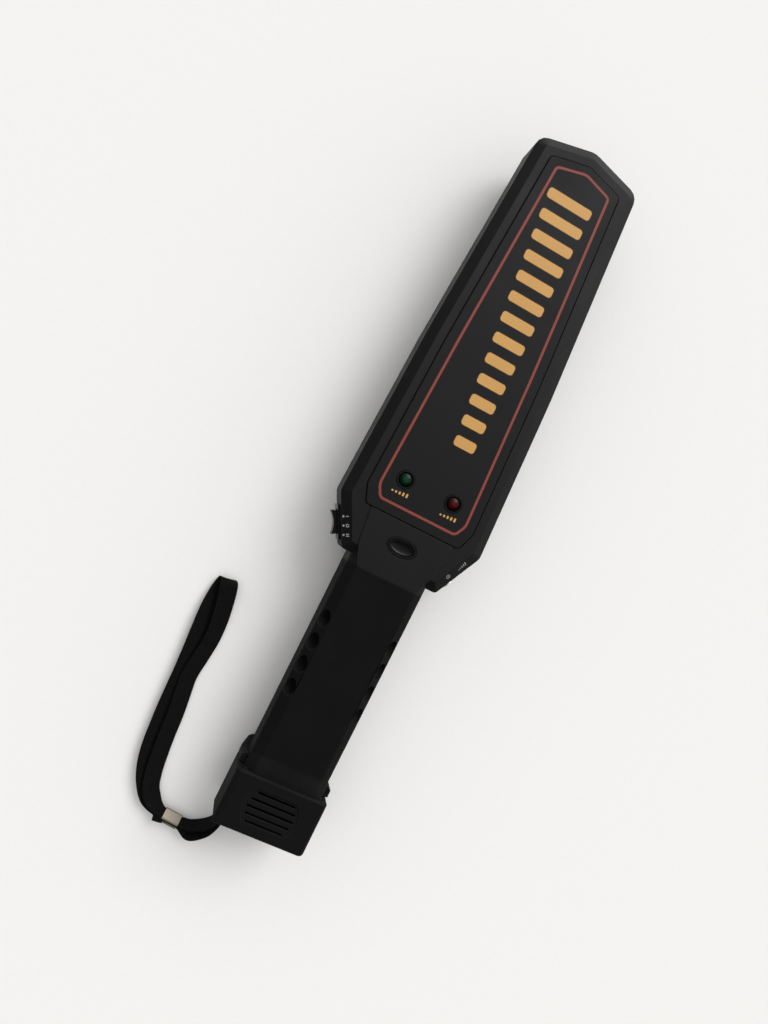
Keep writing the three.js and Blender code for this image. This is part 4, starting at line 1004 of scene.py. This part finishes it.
class WAND_OT_insides(bpy.types.Operator):
    """Dress the board, coil, speaker, motor and battery"""

    bl_idname = "wand.insides"
    bl_label = "Insides"

    def execute(self, context):
        dress(["main_board", "tact_switch", "control_chip", "filter_capacitor", "speaker"], FINE_EDGE)
        dress([f"board_screw_{number}" for number in range(1, 5)], FINE_EDGE)
        dress(["vibration_motor", "vibration_weight", "coil_former", "search_coil", "coil_cable"], 0.0)
        dress(["battery"], 0.0004)
        dress(["battery_snap", "battery_lead_red", "battery_lead_black"], 0.0)
        return {"FINISHED"}


class WAND_OT_stage(bpy.types.Operator):
    """Set the pale floor, the backdrop and the soft studio lights"""

    bl_idname = "wand.stage"
    bl_label = "Stage"

    def execute(self, context):
        width, drop = 12, 0.0004
        clear()
        bpy.ops.mesh.primitive_plane_add(size=width, location=(0, 0, -drop))
        floor = context.active_object
        bpy.ops.object.transform_apply(location=True)
        floor.name = "floor"
        paper, tree, shader, place = blank("Pale paper")
        fibres = ranged(tree, noise(tree, place, 300, 4), 0, 1)
        sheet = mixed(tree, fibres, (0.852, 0.844, 0.828, 1), (0.862, 0.854, 0.838, 1))
        rays = node(tree, "LightPath")
        seen = math_step(tree, "MAXIMUM", rays.outputs["Is Camera Ray"], rays.outputs["Is Glossy Ray"])
        seen = math_step(tree, "MAXIMUM", seen, rays.outputs["Is Transmission Ray"])
        sheet = mixed(tree, seen, (0.15, 0.15, 0.15, 1), sheet)
        tree.links.new(sheet, shader.inputs["Base Color"])
        shader.inputs["Roughness"].default_value = 0.95
        shader.inputs["Specular IOR Level"].default_value = 0.0
        floor.data.materials.append(paper)
        self.world(context)
        self.lamp("key", (0.50, 1.0, 1.05), 1.26, 34)
        self.lamp("fill", (-0.3, -0.6, 1.6), 0.06, 50)
        context.scene.view_settings.view_transform = "Standard"
        return {"FINISHED"}

    def world(self, context):
        """Soft light from beyond the tip's right, a dim room with a glow to mirror, and a pale backdrop."""
        world = context.scene.world or bpy.data.worlds.new("Studio")
        context.scene.world = world
        world.use_nodes = True
        tree = world.node_tree
        tree.nodes.clear()
        rays = node(tree, "LightPath")
        glossy, through = rays.outputs["Is Glossy Ray"], rays.outputs["Is Transmission Ray"]
        mirrored = math_step(tree, "MAXIMUM", glossy, through)
        way = node(tree, "TexCoord").outputs["Generated"]
        aim = vector_step(tree, "DOT_PRODUCT", way, (0.32, 0.87, 0.35)).outputs["Value"]
        beyond = vector_step(tree, "DOT_PRODUCT", way, (0.22, 0.90, 0.38)).outputs["Value"]
        glow = ranged(tree, beyond, 0.0, 1.8, 0.8, 1.0)
        shine = math_step(tree, "ADD", ranged(tree, aim, 0.03, 1.6, 0.2, 0.9), glow)
        white = (1, 1, 1, 1)
        light = node(tree, "Background", Color=white, Strength=ranged(tree, aim, 0.28, 1.12, -0.7, 0.9))
        room = node(tree, "Background", Color=white, Strength=shine)
        height = node(tree, "SeparateXYZ", Vector=way).outputs[2]
        dim = ranged(tree, height, 0.0, 1.0, 0.25, 0.8)
        pale = mixed(tree, dim, (0.895, 0.887, 0.868, 1), (0.16, 0.165, 0.175, 1))
        backdrop = node(tree, "Background", Color=pale, Strength=1.0)
        lit = self.either(tree, mirrored, light, room)
        both = self.either(tree, rays.outputs["Is Camera Ray"], lit, backdrop)
        node(tree, "OutputWorld", Surface=both.outputs[0])

    def either(self, tree, share, first, second):
        """One of two shaders, by a share from 0 to 1."""
        both = node(tree, "MixShader")
        feed(tree, both.inputs, (share, first.outputs[0], second.outputs[0]))
        return both

    def lamp(self, name, toward, strength, spread):
        """A broad, soft lamp from far off, in this direction."""
        clear()
        bpy.ops.object.light_add(type="SUN")
        lamp = bpy.context.active_object
        lamp.name = name
        lamp.rotation_euler = Vector(toward).to_track_quat("Z", "Y").to_euler()
        lamp.data.energy = strength
        lamp.data.angle = math.radians(spread)


OPERATORS = (
    WAND_OT_camera, WAND_OT_strap, WAND_OT_casing, WAND_OT_label, WAND_OT_lamps, WAND_OT_button,
    WAND_OT_switch, WAND_OT_sockets, WAND_OT_cap, WAND_OT_insides, WAND_OT_stage,
)


class VIEW3D_PT_wand(bpy.types.Panel):
    """The wand's pieces, one button each, with their sizes and colours"""

    bl_label = "Metal detector wand"
    bl_space_type = "VIEW_3D"
    bl_region_type = "UI"
    bl_category = "Wand"

    def draw(self, context):
        for operator in OPERATORS:
            self.layout.operator(operator.bl_idname)
        for group in (context.scene.wand_sizes, context.scene.wand_colours):
            for name in group.__annotations__:
                self.layout.prop(group, name)


CLASSES = (WandSizes, WandColours, *OPERATORS, VIEW3D_PT_wand)


def register():
    """Add the classes and the scene's settings."""
    for made in CLASSES:
        bpy.utils.register_class(made)
    bpy.types.Scene.wand_sizes = bpy.props.PointerProperty(type=WandSizes)
    bpy.types.Scene.wand_colours = bpy.props.PointerProperty(type=WandColours)


def unregister():
    """Take out the settings and the classes."""
    del bpy.types.Scene.wand_colours
    del bpy.types.Scene.wand_sizes
    for made in reversed(CLASSES):
        bpy.utils.unregister_class(made)


def main():
    """Make every piece and the stage."""
    register()
    bpy.ops.wand.camera()
    bpy.ops.wand.strap()
    bpy.ops.wand.casing()
    bpy.ops.wand.label()
    bpy.ops.wand.lamps()
    bpy.ops.wand.button()
    bpy.ops.wand.switch()
    bpy.ops.wand.sockets()
    bpy.ops.wand.cap()
    bpy.ops.wand.insides()
    bpy.ops.wand.stage()


if __name__ == "__main__":
    main()
